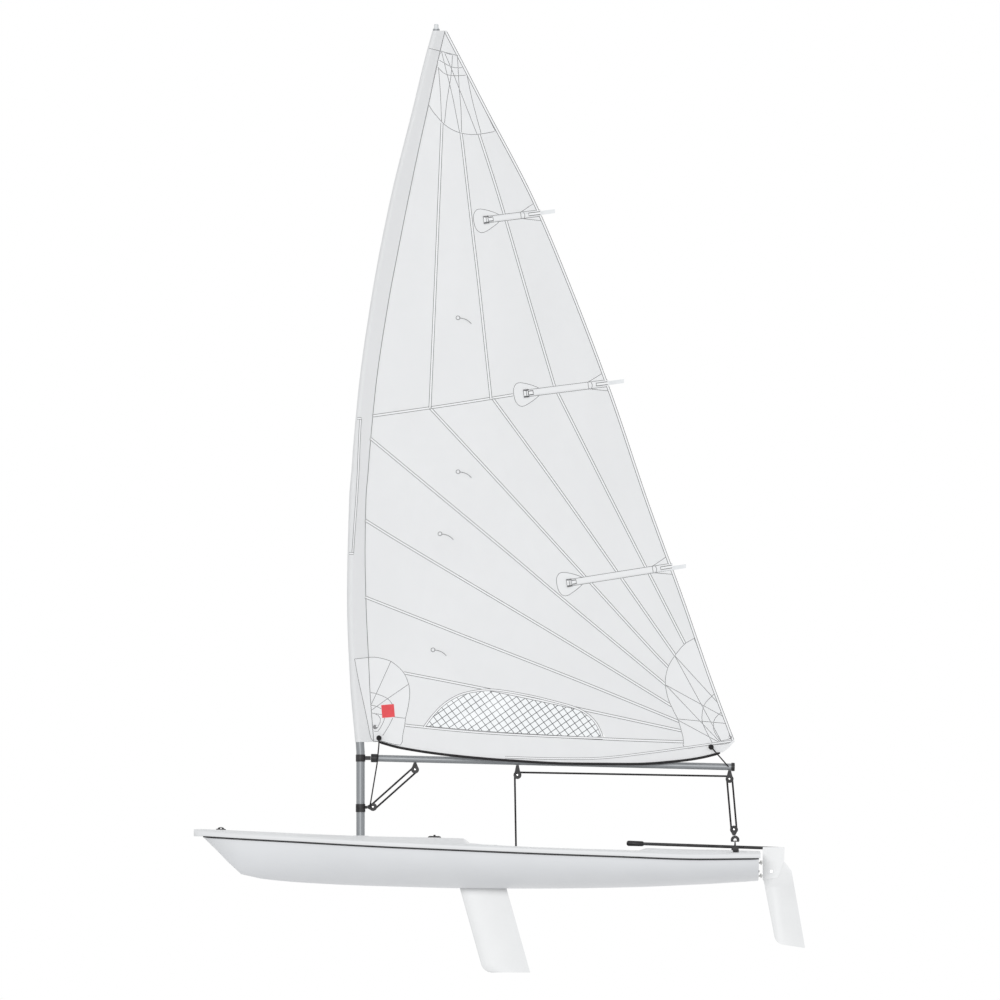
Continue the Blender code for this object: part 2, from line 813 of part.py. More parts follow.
def sleeve_radius(z):
    """Outside radius of the luff sleeve round the mast, wide enough for the lower mast up to its joint."""
    below = z < luff_heights()[MAST_JOINT_ROW] + SEAT_GAP
    return (MAST_RADIUS if below else TOPMAST_RADIUS) + SLEEVE_SLACK + SLEEVE_CLOTH


def mast_axis_x(z):
    if z <= MAST_STRAIGHT_Z:
        return MAST_X
    if z < RIG_ROWS[0][0]:
        return blend(MAST_X, RIG_ROWS[0][1], (z - MAST_STRAIGHT_Z) / (RIG_ROWS[0][0] - MAST_STRAIGHT_Z))
    return curve_value(RIG_ROWS, z, 1)


def seam_x(z):
    """Where the sleeve is sewn to the body of the sail."""
    share = (min(max(z, SAIL_TACK_Z), SAIL_HEAD_Z) - SAIL_TACK_Z) / (SAIL_HEAD_Z - SAIL_TACK_Z)
    front = mast_axis_x(z) - sleeve_radius(z)
    return front + blend(SLEEVE_DEPTH_FOOT, SLEEVE_DEPTH_HEAD, share)


def leech_x(z):
    return curve_value(RIG_ROWS, z, 2)


def sail_y(x, z):
    """The sail's middle surface, blown to port, its deepest draft forward of half chord."""
    level = max(z, RIG_ROWS[0][0])
    front, back = seam_x(level), leech_x(level)
    share = min(max((x - front) / (back - front), 0.0), 1.0)
    return -CAMBER * (back - front) * math.sin(math.pi * share ** 0.8)


def sail_row(part):
    """One level through the sail: (outer points, inner points of the sleeve)."""
    luff_z = blend(SAIL_TACK_Z, SAIL_HEAD_Z, part)
    clew_z = blend(SAIL_CLEW_Z, SAIL_HEAD_Z, part)
    axis, radius, seam = mast_axis_x(luff_z), sleeve_radius(luff_z), seam_x(luff_z)
    half = CLOTH / 2
    wrap = math.pi / 2 - 2 * math.pi / MAST_SIDES
    front = (MAST_SIDES // 2 + 3, wrap, 2 * math.pi - wrap)
    rim = [(axis + x, y) for x, y in circle(radius, *front)]
    leave_x, leave_y = axis + radius * math.cos(wrap), radius * math.sin(wrap)
    taper = [
        (blend(leave_x, seam, share), blend(leave_y, half, share))
        for share in (0.85, 0.55, 0.25)
    ]
    starboard = [(seam, half)] + taper
    port = [(x, -y) for x, y in starboard[::-1]]
    outer = starboard + rim + port
    inner_end = (seam - 0.014, 0.0)
    thin = SLEEVE_CLOTH
    inner_rim = [(axis + x, y) for x, y in circle(radius - thin, *front)]
    leave_x, leave_y = inner_rim[0][0], inner_rim[0][1]
    inner_taper = [
        (blend(leave_x, inner_end[0], share), blend(leave_y, 0.0, share))
        for share in (0.82, 0.53, 0.25)
    ]
    inner = [inner_end] + inner_taper + inner_rim + [(x, -y) for x, y in inner_taper[::-1]]
    leech = leech_x(max(clew_z, RIG_ROWS[0][0]))
    sheet = []
    for i in range(1, SAIL_CHORD_POINTS + 1):
        share = i / SAIL_CHORD_POINTS
        x = blend(seam, leech, share)
        level = blend(luff_z, clew_z, share)
        dip = curve_value(FOOT_CURVE, x) - blend(SAIL_TACK_Z, SAIL_CLEW_Z, share)
        z = level + dip * (1 - part) ** 5
        sheet.append((x, sail_y(x, level), z))
    return (
        [(x, y, luff_z) for x, y in outer],
        [(x, y, luff_z) for x, y in inner],
        [(x, y - half, z) for x, y, z in sheet],
        [(x, y + half, z) for x, y, z in sheet],
    )


def sail_face_y(x, z):
    """The sail's middle surface as its flat facets lie, for what is laid on it."""
    levels = []
    for r in range(SAIL_ROW_COUNT + 1):
        port = sail_row(r / SAIL_ROW_COUNT)[2]
        after = next((i for i, point in enumerate(port[1:], 1) if point[0] >= x), len(port) - 1)
        (x0, y0, z0), (x1, y1, z1) = port[after - 1], port[after]
        share = (x - x0) / (x1 - x0)
        levels.append((blend(z0, z1, share), blend(y0, y1, share) + CLOTH / 2))
    above = next(i for i, level in enumerate(levels) if level[0] >= z)
    (z0, y0), (z1, y1) = levels[above - 1], levels[above]
    return blend(y0, y1, (z - z0) / (z1 - z0))


def make_sail(rig):
    """One cloth: a sleeve open at both ends and a cambered body, lofted up the luff."""
    points, faces, rows = [], [], []
    for r in range(SAIL_ROW_COUNT + 1):
        row = []
        for group in sail_row(r / SAIL_ROW_COUNT):
            row.append(list(range(len(points), len(points) + len(group))))
            points += group
        rows.append(row)
    for low, high in zip(rows, rows[1:]):
        outer_low = low[0] + low[2] + low[3][::-1]
        outer_high = high[0] + high[2] + high[3][::-1]
        for a, b in ((outer_low, outer_high), (low[1][::-1], high[1][::-1])):
            for i in range(len(a)):
                j = (i + 1) % len(a)
                faces.append((a[i], a[j], b[j], b[i]))
    for row in (rows[0], rows[-1]):
        outer, inner, port, starboard = row
        ring = inner + inner[:1]
        faces += [(outer[i], outer[i + 1], ring[i + 1], ring[i]) for i in range(len(inner))]
        faces.append((outer[0], inner[0], outer[-1]))
        port, starboard = [outer[-1]] + port, [outer[0]] + starboard
        faces += [
            (port[i], port[i + 1], starboard[i + 1], starboard[i])
            for i in range(len(port) - 1)
        ]
    add("sail", points, faces, "sailcloth", rig)


def facet_edges_between(inner, tip):
    """Where a straight batten crosses the edges of the sail's facets, with its own two ends."""
    slope = (tip[1] - inner[1]) / (tip[0] - inner[0])
    places = [inner[0], tip[0]]
    rows = [sail_row(r / SAIL_ROW_COUNT)[2] for r in range(SAIL_ROW_COUNT + 1)]
    for column in zip(*rows):
        over = [z - inner[1] - slope * (x - inner[0]) for x, y, z in column]
        above = next(i for i, height in enumerate(over) if height > 0)
        share = over[above - 1] / (over[above - 1] - over[above])
        x = blend(column[above - 1][0], column[above][0], share)
        if inner[0] < x < tip[0]:
            places.append(x)
    return [(x, inner[1] + slope * (x - inner[0])) for x in sorted(places)]


def make_battens(rig):
    for name, inner, tip in BATTENS:
        rings = []
        for x, z in facet_edges_between(inner, tip):
            half = BATTEN_WIDTH / 2
            on_cloth = min(x, leech_x(z + half) - 0.001)
            cloth_y = min(sail_face_y(on_cloth, level) for level in (z - half, z, z + half))
            y = cloth_y - CLOTH / 2 - 2 * SEAT_GAP
            rings.append([
                (x, y, z - half), (x, y, z + half),
                (x, y - BATTEN_THICKNESS, z + half), (x, y - BATTEN_THICKNESS, z - half),
            ])
        loft(name, rings, "batten_plastic", rig)


def spar(name, heights, radius, rig):
    rings = [
        [(mast_axis_x(z) + x, y, z) for x, y in circle(radius, MAST_SIDES)]
        for z in heights
    ]
    loft(name, rings, "spar_alloy", rig)


def make_mast(rig):
    heights = luff_heights()
    joint = heights[MAST_JOINT_ROW]
    spar("lower_mast", [MAST_HEEL_Z, MAST_STRAIGHT_Z] + heights[: MAST_JOINT_ROW + 1], MAST_RADIUS, rig)
    high = [joint + SEAT_GAP] + heights[MAST_JOINT_ROW + 1:] + [MAST_TOP_Z]
    spar("upper_mast", high, TOPMAST_RADIUS, rig)
    start = Vector((mast_axis_x(MAST_TOP_Z), 0, MAST_TOP_Z + SEAT_GAP))
    profile = ((0.0, 0.021), (0.008, 0.021), (0.012, 0.017), (0.033, 0.017), (0.037, 0.013))
    turned("masthead_plug", profile, start, (0, 0, 1), "batten_plastic", 16, rig)


def boom_z(x):
    share = (x - BOOM_FRONT[0]) / (BOOM_AFT[0] - BOOM_FRONT[0])
    return blend(BOOM_FRONT[1], BOOM_AFT[1], share)


def boom_point(x, y=0.0):
    return (x, y, boom_z(x))


def boom_cap(name, end_x, direction, depth, rig):
    """A cap over an end of the boom, drilled in its middle and chamfered round its rim."""
    inner, outer = BOOM_RADIUS + SEAT_GAP, BOOM_RADIUS + BOOM_CAP_WALL
    profile = (
        (-depth, inner), (SEAT_GAP, inner), (SEAT_GAP, BOOM_CAP_HOLE), (BOOM_CAP_END, BOOM_CAP_HOLE),
        (BOOM_CAP_END, outer - BOOM_CAP_WALL / 2), (BOOM_CAP_END / 2, outer), (-depth, outer),
    )
    pipe(name, profile, boom_point(end_x), direction, "black_plastic", 20, rig)


def make_boom(rig):
    front, aft = BOOM_FRONT[0], BOOM_AFT[0]
    rod("boom", boom_point(front), boom_point(aft), BOOM_RADIUS, "spar_alloy", 20, rig)
    along = Vector((aft - front, 0, BOOM_AFT[1] - BOOM_FRONT[1])).normalized()
    boom_cap("boom_end_cap", aft, along, BOOM_CAP_LENGTH, rig)
    boom_cap("boom_front_cap", front, -along, FRONT_CAP_LENGTH, rig)


def mast_band(name, z, height, lug_end, lug_z, lug_height, rig):
    """A fitting clasped round the mast, with a lug standing aft of it."""
    inner, outer = MAST_RADIUS + SEAT_GAP, MAST_RADIUS + BAND_WALL
    profile = ((0, inner), (0, outer), (height, outer), (height, inner))
    band = pipe(name, profile, (MAST_X, 0, z - height / 2), (0, 0, 1), "black_plastic", 32, rig)
    start = MAST_X + inner + BAND_WALL / 2
    outline = rounded_corners([
        (start, lug_z - lug_height / 2), (lug_end, lug_z - lug_height / 2),
        (lug_end, lug_z + lug_height / 2), (start, lug_z + lug_height / 2),
    ], 0.003, 2)
    lug = plate(name + "_lug", outline, -0.009, 0.009, None, "Y", rig, cutter=True)
    boolean(band, lug, "UNION")


def block(name, centre, tail_angle, tail_length, parent, radius=CHEEK_RADIUS, pitch=SHEAVE_PITCH):
    """A block seen from the side: two cheeks, the sheave between them and a tail that holds it."""
    half_slot = ROPE_RADIUS + 0.0025
    half = half_slot + CHEEK_THICKNESS
    tail = Vector((math.cos(tail_angle), math.sin(tail_angle)))
    side = Vector((-tail.y, tail.x))
    centre2 = Vector(centre)
    tip = 0.010
    opening = math.radians(46)
    start = tail_angle + opening
    outline = [
        tuple(centre2 + Vector(p))
        for p in circle(radius, 18, start, tail_angle + 2 * math.pi - opening)
    ]
    outline += [
        tuple(centre2 + tail * tail_length - side * tip),
        tuple(centre2 + tail * tail_length + side * tip),
    ]
    body = plate(name, outline, -half, half, "black_plastic", "Y", parent)
    hub = pitch - ROPE_RADIUS - 0.0005
    groove_out = pitch + ROPE_RADIUS + 0.0080
    profile = (
        (-half_slot, hub + 0.002), (-half_slot, groove_out), (half_slot, groove_out),
        (half_slot, hub + 0.002), (0.0, hub),
    )
    place = (centre[0], 0, centre[1])
    groove = pipe(name + "_groove", profile, place, (0, 1, 0), "black_plastic", 16, parent)
    boolean(body, groove, "DIFFERENCE")


def arc_round(centre, radius, start, end, y=0.0, steps=8):
    return [
        (centre[0] + dx, y, centre[1] + dz)
        for dx, dz in circle(radius, steps + 1, start, end)
    ]


def make_vang(rig):
    lower, upper = Vector(VANG_LOWER), Vector(VANG_UPPER)
    run = upper - lower
    angle = math.atan2(run.y, run.x)
    tail = CHEEK_RADIUS + 0.012
    lug_end = VANG_LOWER[0] - tail
    mast_band("vang_tang", TANG_Z, TANG_HEIGHT, lug_end, VANG_LOWER[1] - 0.002, 0.022, rig)
    block("vang_lower_block", VANG_LOWER, math.pi, tail - SEAT_GAP, rig)
    boom_gap = boom_z(upper.x) - BOOM_RADIUS - upper.y - 2 * SEAT_GAP
    block("vang_upper_block", VANG_UPPER, math.pi / 2, boom_gap, rig)
    quarter = math.pi / 2
    route = arc_round(VANG_LOWER, SHEAVE_PITCH, angle + quarter, angle + 3 * quarter)
    route += arc_round(VANG_UPPER, SHEAVE_PITCH, angle - quarter, angle + quarter)
    line("vang_line", route, ROPE_RADIUS, parent=rig, closed=True)


def make_boom_tackle(rig):
    for name, centre in (("boom_mid_block", MID_BLOCK), ("boom_aft_block", AFT_BLOCK)):
        reach = boom_z(centre[0]) - BOOM_RADIUS - centre[1] - 2 * SEAT_GAP
        block(name, centre, math.pi / 2, reach, rig)
    lean = math.atan2(AFT_BLOCK[1] - MID_BLOCK[1], AFT_BLOCK[0] - MID_BLOCK[0])
    top = math.pi / 2 + lean
    route = arc_round(MID_BLOCK, SHEAVE_PITCH, math.pi, top)
    route += arc_round(AFT_BLOCK, SHEAVE_PITCH, top, 0.0)
    line("boom_sheet_run", route, ROPE_RADIUS, parent=rig)
    side = -(BOOM_RADIUS + BOOM_CAP_WALL + LINE_RADIUS + SEAT_GAP)
    line("cunningham_line", [(x, side, z) for x, z in CUNNINGHAM_ROUTE], LINE_RADIUS, parent=rig)
    clew_x, clew_z = CLEW_HOOK
    clew_y = sail_y(clew_x, clew_z) - CLOTH / 2 - LINE_RADIUS - SEAT_GAP * 3
    flank = boom_point(OUTHAUL_BOOM_X, -(BOOM_RADIUS + LINE_RADIUS + 2 * SEAT_GAP))
    line("outhaul_line", [(clew_x, clew_y, clew_z), flank], LINE_RADIUS, parent=rig)


def make_rig():
    rig = pivot("rig_turn", (MAST_X, 0, 0))
    make_mast(rig)
    make_boom(rig)
    front = BOOM_FRONT[0] - BOOM_CAP_END - SEAT_GAP - 0.001
    height = boom_z(BOOM_FRONT[0])
    mast_band("gooseneck", height, GOOSENECK_HEIGHT, front, height, GOOSENECK_LUG, rig)
    make_vang(rig)
    make_boom_tackle(rig)
    make_sail(rig)
    make_battens(rig)


def make_rudder():
    swing = pivot("rudder_swing", (RUDDER_AXIS_X, 0, 0))
    half = CHEEK_GAP / 2 + CHEEK_PLATE
    heel, knee = HEAD_HEEL_CUT, HEAD_KNEE
    outline = rounded_corners([
        (HEAD_FRONT_X, HEAD_BOTTOM_Z), (HEAD_AFT_X - heel[0], HEAD_BOTTOM_Z + heel[1]),
        (HEAD_AFT_X - knee[0], HEAD_TOP_Z - knee[1]), (HEAD_AFT_X, HEAD_TOP_Z),
        (HEAD_FRONT_X, HEAD_TOP_Z),
    ], 0.004, 2)
    head = plate("rudder_head", outline, -half, half, "foil_gelcoat", "Y", swing)
    web_low = TROUGH_Z - WEB_THICKNESS
    inside = HEAD_FRONT_X + FRONT_WEB
    slot = [
        (inside, HEAD_BOTTOM_Z - 0.05), (HEAD_AFT_X + 0.05, HEAD_BOTTOM_Z - 0.05),
        (HEAD_AFT_X + 0.05, web_low), (inside, web_low),
    ]
    cut = plate("blade_slot", slot, -CHEEK_GAP / 2, CHEEK_GAP / 2, None, "Y", swing, cutter=True)
    boolean(head, cut, "DIFFERENCE")
    trough = [
        (HEAD_FRONT_X - 0.05, TROUGH_Z), (HEAD_AFT_X + 0.05, TROUGH_Z),
        (HEAD_AFT_X + 0.05, HEAD_TOP_Z + 0.05), (HEAD_FRONT_X - 0.05, HEAD_TOP_Z + 0.05),
    ]
    cut = plate("tiller_trough", trough, -CHEEK_GAP / 2, CHEEK_GAP / 2, None, "Y", swing, cutter=True)
    boolean(head, cut, "DIFFERENCE")
    place = (BLADE_PIVOT[0], 0, BLADE_PIVOT[1])
    hole = rod("bolt_hole", (place[0], -0.05, place[2]), (place[0], 0.05, place[2]),
               BOLT_RADIUS + SEAT_GAP, None, 16, swing, cutter=True)
    boolean(head, hole, "DIFFERENCE")
    reach = half + SEAT_GAP
    wide, thick = BOLT_HEAD
    bolt = (
        (-reach - thick, wide), (-reach, wide), (-reach, BOLT_RADIUS),
        (reach, BOLT_RADIUS), (reach, wide), (reach + thick, wide),
    )
    turned("rudder_bolt", bolt, place, (0, 1, 0), "steel", 16, swing)
    make_pintles(swing)
    make_tiller(swing)
    make_blade(swing)


def make_pintles(swing):
    for name, z in PINTLE_HEIGHTS:
        low = z + GUDGEON_HEIGHT / 2 + SEAT_GAP
        top = low + 0.010
        axis = RUDDER_AXIS_X
        front = HEAD_FRONT_X - SEAT_GAP
        arm = [(axis + x, y) for x, y in circle(0.008, 9, math.pi / 2, 3 * math.pi / 2)]
        arm += [(front, -0.008), (front, 0.008)]
        pintle = plate(f"pintle_{name}", arm, low, top, "steel", "Z", swing)
        pin = rod(f"pintle_{name}_pin", (axis, 0, low - GUDGEON_HEIGHT - 0.008), (axis, 0, low + 0.004),
                  PINTLE_RADIUS, None, 16, swing, cutter=True)
        boolean(pintle, pin, "UNION")


def make_gudgeons():
    face = HULL_SECTIONS[-1][0] + SEAT_GAP
    for name, z in PINTLE_HEIGHTS:
        axis = RUDDER_AXIS_X
        low, high = z - GUDGEON_HEIGHT / 2, z + GUDGEON_HEIGHT / 2
        ring = [(axis + x, y) for x, y in circle(GUDGEON_RING, 12, -2.2, 2.2)]
        tongue = ring + [(face + 0.001, GUDGEON_RING * 0.8), (face + 0.001, -GUDGEON_RING * 0.8)]
        gudgeon = plate(f"gudgeon_{name}", tongue, low, high, "steel", "Z")
        outline = rounded_corners([(-0.045, z - 0.013), (0.045, z - 0.013), (0.045, z + 0.013),
                                   (-0.045, z + 0.013)], 0.008, 3)
        base = plate(f"gudgeon_{name}_plate", outline, face, face + 0.003, None, "X", cutter=True)
        boolean(gudgeon, base, "UNION")
        bore = rod(f"gudgeon_{name}_bore", (axis, 0, low - 0.01), (axis, 0, high + 0.01),
                   PINTLE_RADIUS + 0.0005, None, 16, cutter=True)
        boolean(gudgeon, bore, "DIFFERENCE")


def tiller_point(x):
    return (x, 0.0, TILLER_Z + TILLER_RISE * (RUDDER_AXIS_X - x))


def make_tiller(swing):
    rod("tiller", tiller_point(TILLER_FRONT_X), tiller_point(TILLER_AFT_X), TILLER_RADIUS,
        "black_plastic", 16, swing)
    front, back = Vector(tiller_point(GRIP_FRONT_X)), Vector(tiller_point(TILLER_FRONT_X - SEAT_GAP))
    length = (back - front).length
    profile = [(GRIP_RADIUS * (1 - math.cos(a)), GRIP_RADIUS * math.sin(a) + 0.002)
               for a in (math.radians(d) for d in (0, 25, 50, 75))]
    profile += [(length - 0.010, GRIP_RADIUS), (length, GRIP_RADIUS - 0.005)]
    turned("tiller_grip", profile, front, back - front, "black_plastic", 16, swing)


def blade_ring(height, room=0.0):
    """The blade's foil section at a height over its bolt. With room it is a block that clears the blade."""
    lead_top, lead_end, tail_end, tail_top, shoulder = BLADE_CORNERS
    ends = []
    for (x0, z0, _), (x1, z1, _) in ((lead_top, lead_end), (tail_top, tail_end)):
        ends.append(BLADE_PIVOT[0] + blend(x0, x1, (height - z0) / (z1 - z0)))
    grow = room + FOIL_TRIM
    ring = foil_section(ends[0] - grow, ends[1] + grow, BLADE_THICKNESS / 2, BLADE_PIVOT[1] + height)
    if not room:
        return ring
    return [(x, math.copysign(room, y) if y else 0.0, z) for x, y, z in ring]


def make_blade(swing):
    """A plate in the shape of the blade, flat between the cheeks and worked to a foil below them."""
    lift = pivot("blade_lift", (BLADE_PIVOT[0], 0, BLADE_PIVOT[1]), swing)
    centre = Vector(BLADE_PIVOT)
    top = [tuple(centre + Vector(p)) for p in circle(BLADE_TOP_RADIUS, 7, math.radians(70), math.pi)]
    corners = [tuple(centre + Vector((x, z))) for x, z, _ in BLADE_CORNERS]
    edge = rounded_corners(corners, [radius for _, _, radius in BLADE_CORNERS], 5)
    blade = plate("rudder_blade", top + edge, -BLADE_THICKNESS / 2, BLADE_THICKNESS / 2,
                  "foil_gelcoat", "Y", lift)
    room = BLADE_THICKNESS
    tip = BLADE_CORNERS[2][1] - room
    rings = [blade_ring(tip), blade_ring(-BLADE_FLAT_DEPTH - BLADE_FAIRING)]
    rings += [blade_ring(-BLADE_FLAT_DEPTH, room), blade_ring(2 * BLADE_TOP_RADIUS, room)]
    foil = loft("blade_foil", rings, None, lift, cutter=True)
    boolean(blade, foil, "INTERSECT")
    hole = rod("blade_hole", (centre.x, -0.05, centre.y), (centre.x, 0.05, centre.y),
               BOLT_RADIUS + 2 * SEAT_GAP, None, 16, lift, cutter=True)
    boolean(blade, hole, "DIFFERENCE")


def deck_fitting(name, outline, half, place_x, finish):
    """A fitting drawn from its own base line, laid on the deck's slope at a place on the centreline."""
    slope = deck_slope(place_x)
    base = Vector((place_x, 0, deck_z(place_x) + 2 * SEAT_GAP))
    turn = Matrix.Rotation(-math.atan(slope), 3, "Y")
    rings = [[base + turn @ Vector((u, w, v)) for u, v in outline] for w in (-half, half)]
    return loft(name, rings, finish)


def make_deck_fittings():
    front, aft, height, half_wide = BOW_EYE
    half = (aft - front) / 2
    middle = (front + aft) / 2
    outline = [(-half, 0.0), (half, 0.0), (half, FITTING_BASE)]
    outline += [
        (x * 0.7 * half, FITTING_BASE + y * (height - FITTING_BASE))
        for x, y in circle(1.0, 9, 0.2, math.pi - 0.2)
    ]
    outline += [(-half, FITTING_BASE)]
    eye = deck_fitting("bow_eye", outline, half_wide, middle, "black_plastic")
    z = deck_z(middle) + height * 0.52
    hole = rod("bow_eye_hole", (middle, -0.05, z), (middle, 0.05, z), height / 4, None, 12, cutter=True)
    boolean(eye, hole, "DIFFERENCE")
    front, aft, height, half_wide = CLEAT_PLATE
    half = (aft - front) / 2
    ramp = half - CLEAT_PLATE_RAMP
    outline = [
        (-half, 0.0), (half, 0.0), (half, height / 2), (ramp, height), (-ramp, height), (-half, height / 2),
    ]
    deck_fitting("deck_cleat_plate", outline, half_wide, (front + aft) / 2, "black_plastic")
    y, z = BUNG_PLACE
    face = HULL_SECTIONS[-1][0] + SEAT_GAP
    wide, grip = BUNG_RADIUS, BUNG_RADIUS / 2
    profile = ((0.0, wide), (0.004, wide), (0.006, wide - 0.002), (0.006, grip), (0.011, grip - 0.001))
    turned("drain_bung", profile, (face, y, z), (1, 0, 0), "black_plastic", 16)


def well_wall_y(z):
    """Half width between the footwell's straight walls, which lean in by the draft."""
    return WELL_HALF_WIDTH - (WELL_MOUTH_Z - z) * WELL_DRAFT


def make_grab_rails():
    """A bar on three feet along each side wall of the footwell, under its mouth."""
    front, aft = RAIL_FRONT_X, RAIL_FRONT_X + RAIL_LENGTH
    middle, foot = (front + aft) / 2, RAIL_FOOT
    inner, reach = RAIL_DEPTH - RAIL_BAR, RAIL_DEPTH
    outline = [(front, 0.0), (front + foot / 2, reach), (aft - foot / 2, reach), (aft, 0.0)]
    for start, end in ((aft - foot, middle + foot / 2), (middle - foot / 2, front + foot)):
        outline += [(start, 0.0), (start, inner), (end, inner), (end, 0.0)]
    for name, side in (("port", -1), ("starboard", 1)):
        rings = [
            [(x, side * (well_wall_y(z) - 2 * SEAT_GAP - depth), z) for x, depth in outline]
            for z in (RAIL_TOP_Z - RAIL_HEIGHT, RAIL_TOP_Z)
        ]
        rail = loft(f"grab_rail_{name}", rings, "black_plastic")
        bevel(rail, RAIL_EDGE, 1, 50)


def make_cockpit_gear():
    lean = (WELL_MOUTH_Z - STRAP_Z) * WELL_DRAFT
    front, aft = WELL_FRONT_X + lean, WELL_AFT_X - lean
    half, thick = STRAP_WIDTH / 2, STRAP_THICKNESS / 2
    rings = []
    for share in steps_between(0.0, 1.0, 8):
        x = blend(front + 2 * SEAT_GAP, aft - 2 * SEAT_GAP, share)
        z = STRAP_Z - STRAP_SAG * math.sin(math.pi * share)
        rings.append([
            (x, -half, z - thick), (x, half, z - thick), (x, half, z + thick), (x, -half, z + thick),
        ])
    loft("hiking_strap", rings, "webbing")
    neck = RATCHET_RADIUS + RATCHET_NECK
    centre = (RATCHET_X, LEDGE_Z + neck)
    block("ratchet_block", centre, -math.pi / 2, neck - SEAT_GAP, None, RATCHET_RADIUS, RATCHET_PITCH)
    wide, cup = BAILER_RADIUS, BAILER_RADIUS * 0.58
    profile = ((0.0, wide), (0.003, wide), (0.0045, wide - 0.002), (0.0045, cup), (0.0085, cup - 0.002))
    turned("bailer", profile, (BAILER_X, 0, WELL_FLOOR_Z + SEAT_GAP), (0, 0, 1), "black_plastic", 20)
    make_grab_rails()


def make_traveller():
    x, apex = TRAVELLER_X, TRAVELLER_APEX_Z
    half = TRAVELLER_HALF_SPAN
    eye_z = deck_z(x, half) + FAIRLEAD_HEIGHT - 0.010
    reach = half - 0.011
    route = [(x, -reach, eye_z), (x, 0, apex), (x, reach, eye_z)]
    line("traveller_line", route, TRAVELLER_LINE_RADIUS)
    for name, side in (("port", -1), ("starboard", 1)):
        y = side * half
        base = deck_z(x, half) + 0.0015
        outline = rounded_corners([(y - 0.010, base), (y + 0.010, base), (y + 0.010, base + FAIRLEAD_HEIGHT),
                                   (y - 0.010, base + FAIRLEAD_HEIGHT)], 0.004, 2)
        plate(f"traveller_fairlead_{name}", outline, x - 0.022, x + 0.022, "black_plastic", "X")
    sag = SHACKLE_HALF_WIDTH * (apex - eye_z) / reach
    eye = apex - sag + SHACKLE_BORE - TRAVELLER_LINE_RADIUS - 2 * SEAT_GAP
    ring = [(x + dx, eye + dz) for dx, dz in circle(SHACKLE_RADIUS, 13, -0.45, math.pi + 0.45)]
    shackle = plate("traveller_shackle", ring, -SHACKLE_HALF_WIDTH, SHACKLE_HALF_WIDTH,
                    "black_plastic", "Y")
    hole = rod("traveller_shackle_hole", (x, -0.05, eye), (x, 0.05, eye), SHACKLE_BORE,
               None, 16, cutter=True)
    boolean(shackle, hole, "DIFFERENCE")
    centre = LOWER_SHEET_BLOCK
    top = eye + SHACKLE_RADIUS + SEAT_GAP
    block("sheet_lower_block", centre, -math.pi / 2, centre[1] - top, None)


def main():
    clear_scene()
    make_hull()
    make_deck()
    make_mast_step()
    make_daggerboard_case()
    make_daggerboard()
    make_deck_fittings()
    make_cockpit_gear()
    make_gudgeons()
    make_traveller()
    make_rudder()
    make_rig()


main()
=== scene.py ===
"""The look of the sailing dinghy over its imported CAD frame: sail, ropes, fittings, finishes and light."""

import json
import math

import bmesh
import bpy
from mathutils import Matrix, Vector, noise


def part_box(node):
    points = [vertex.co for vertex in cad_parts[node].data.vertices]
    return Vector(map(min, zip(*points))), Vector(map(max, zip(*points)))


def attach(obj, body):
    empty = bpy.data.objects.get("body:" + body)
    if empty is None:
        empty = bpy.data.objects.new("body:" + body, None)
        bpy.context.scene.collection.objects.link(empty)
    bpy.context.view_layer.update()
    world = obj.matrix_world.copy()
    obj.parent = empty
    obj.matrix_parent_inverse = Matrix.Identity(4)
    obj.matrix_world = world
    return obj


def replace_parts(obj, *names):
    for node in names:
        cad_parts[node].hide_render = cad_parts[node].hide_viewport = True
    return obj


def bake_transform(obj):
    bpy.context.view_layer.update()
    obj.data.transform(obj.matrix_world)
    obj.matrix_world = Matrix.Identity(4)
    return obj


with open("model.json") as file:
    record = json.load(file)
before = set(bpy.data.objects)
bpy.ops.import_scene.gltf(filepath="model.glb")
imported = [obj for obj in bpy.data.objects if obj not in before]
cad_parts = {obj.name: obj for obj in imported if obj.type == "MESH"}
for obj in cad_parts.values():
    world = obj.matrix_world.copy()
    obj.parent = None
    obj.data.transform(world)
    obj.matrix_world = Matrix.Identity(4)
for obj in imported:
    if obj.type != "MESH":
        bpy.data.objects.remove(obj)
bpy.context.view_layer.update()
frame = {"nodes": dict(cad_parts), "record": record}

# The drawing's frame: metres for each pixel, and the pixel of the origin
SCALE = 0.00745
ORIGIN_PX = (478, 876)
LENS = 800
SENSOR = 36

# The same spar and sail rows as the CAD: height, place of the mast's axis, place of the leech
RIG_ROWS = (
    (1.000, -0.880, 1.915),
    (1.460, -0.919, 1.743),
    (2.060, -0.941, 1.535),
    (2.800, -0.925, 1.266),
    (3.550, -0.870, 1.013),
    (4.290, -0.769, 0.735),
    (5.030, -0.628, 0.425),
    (5.740, -0.453, 0.056),
    (6.080, -0.371, -0.119),
    (6.300, -0.311, -0.234),
)
# The sleeve's drawn width: height, distance from its front edge back to the luff seam
SLEEVE_ROWS = (
    (0.998, 0.1400),
    (1.680, 0.1485),
    (2.060, 0.1425),
    (2.430, 0.1315),
    (2.800, 0.1270),
    (3.550, 0.1285),
    (4.290, 0.1340),
    (4.660, 0.1385),
    (5.030, 0.1360),
    (5.560, 0.1180),
    (6.080, 0.1030),
    (6.300, 0.0960),
)
# The sail's foot: place along the boat, height
FOOT_CURVE = (
    (-0.741, 0.998),
    (-0.581, 0.954),
    (-0.209, 0.898),
    (0.200, 0.861),
    (0.700, 0.835),
    (1.150, 0.832),
    (1.500, 0.856),
    (1.830, 0.925),
    (1.915, 1.006),
)
TACK_Z, CLEW_Z, HEAD_Z = 0.998, 1.006, 6.300
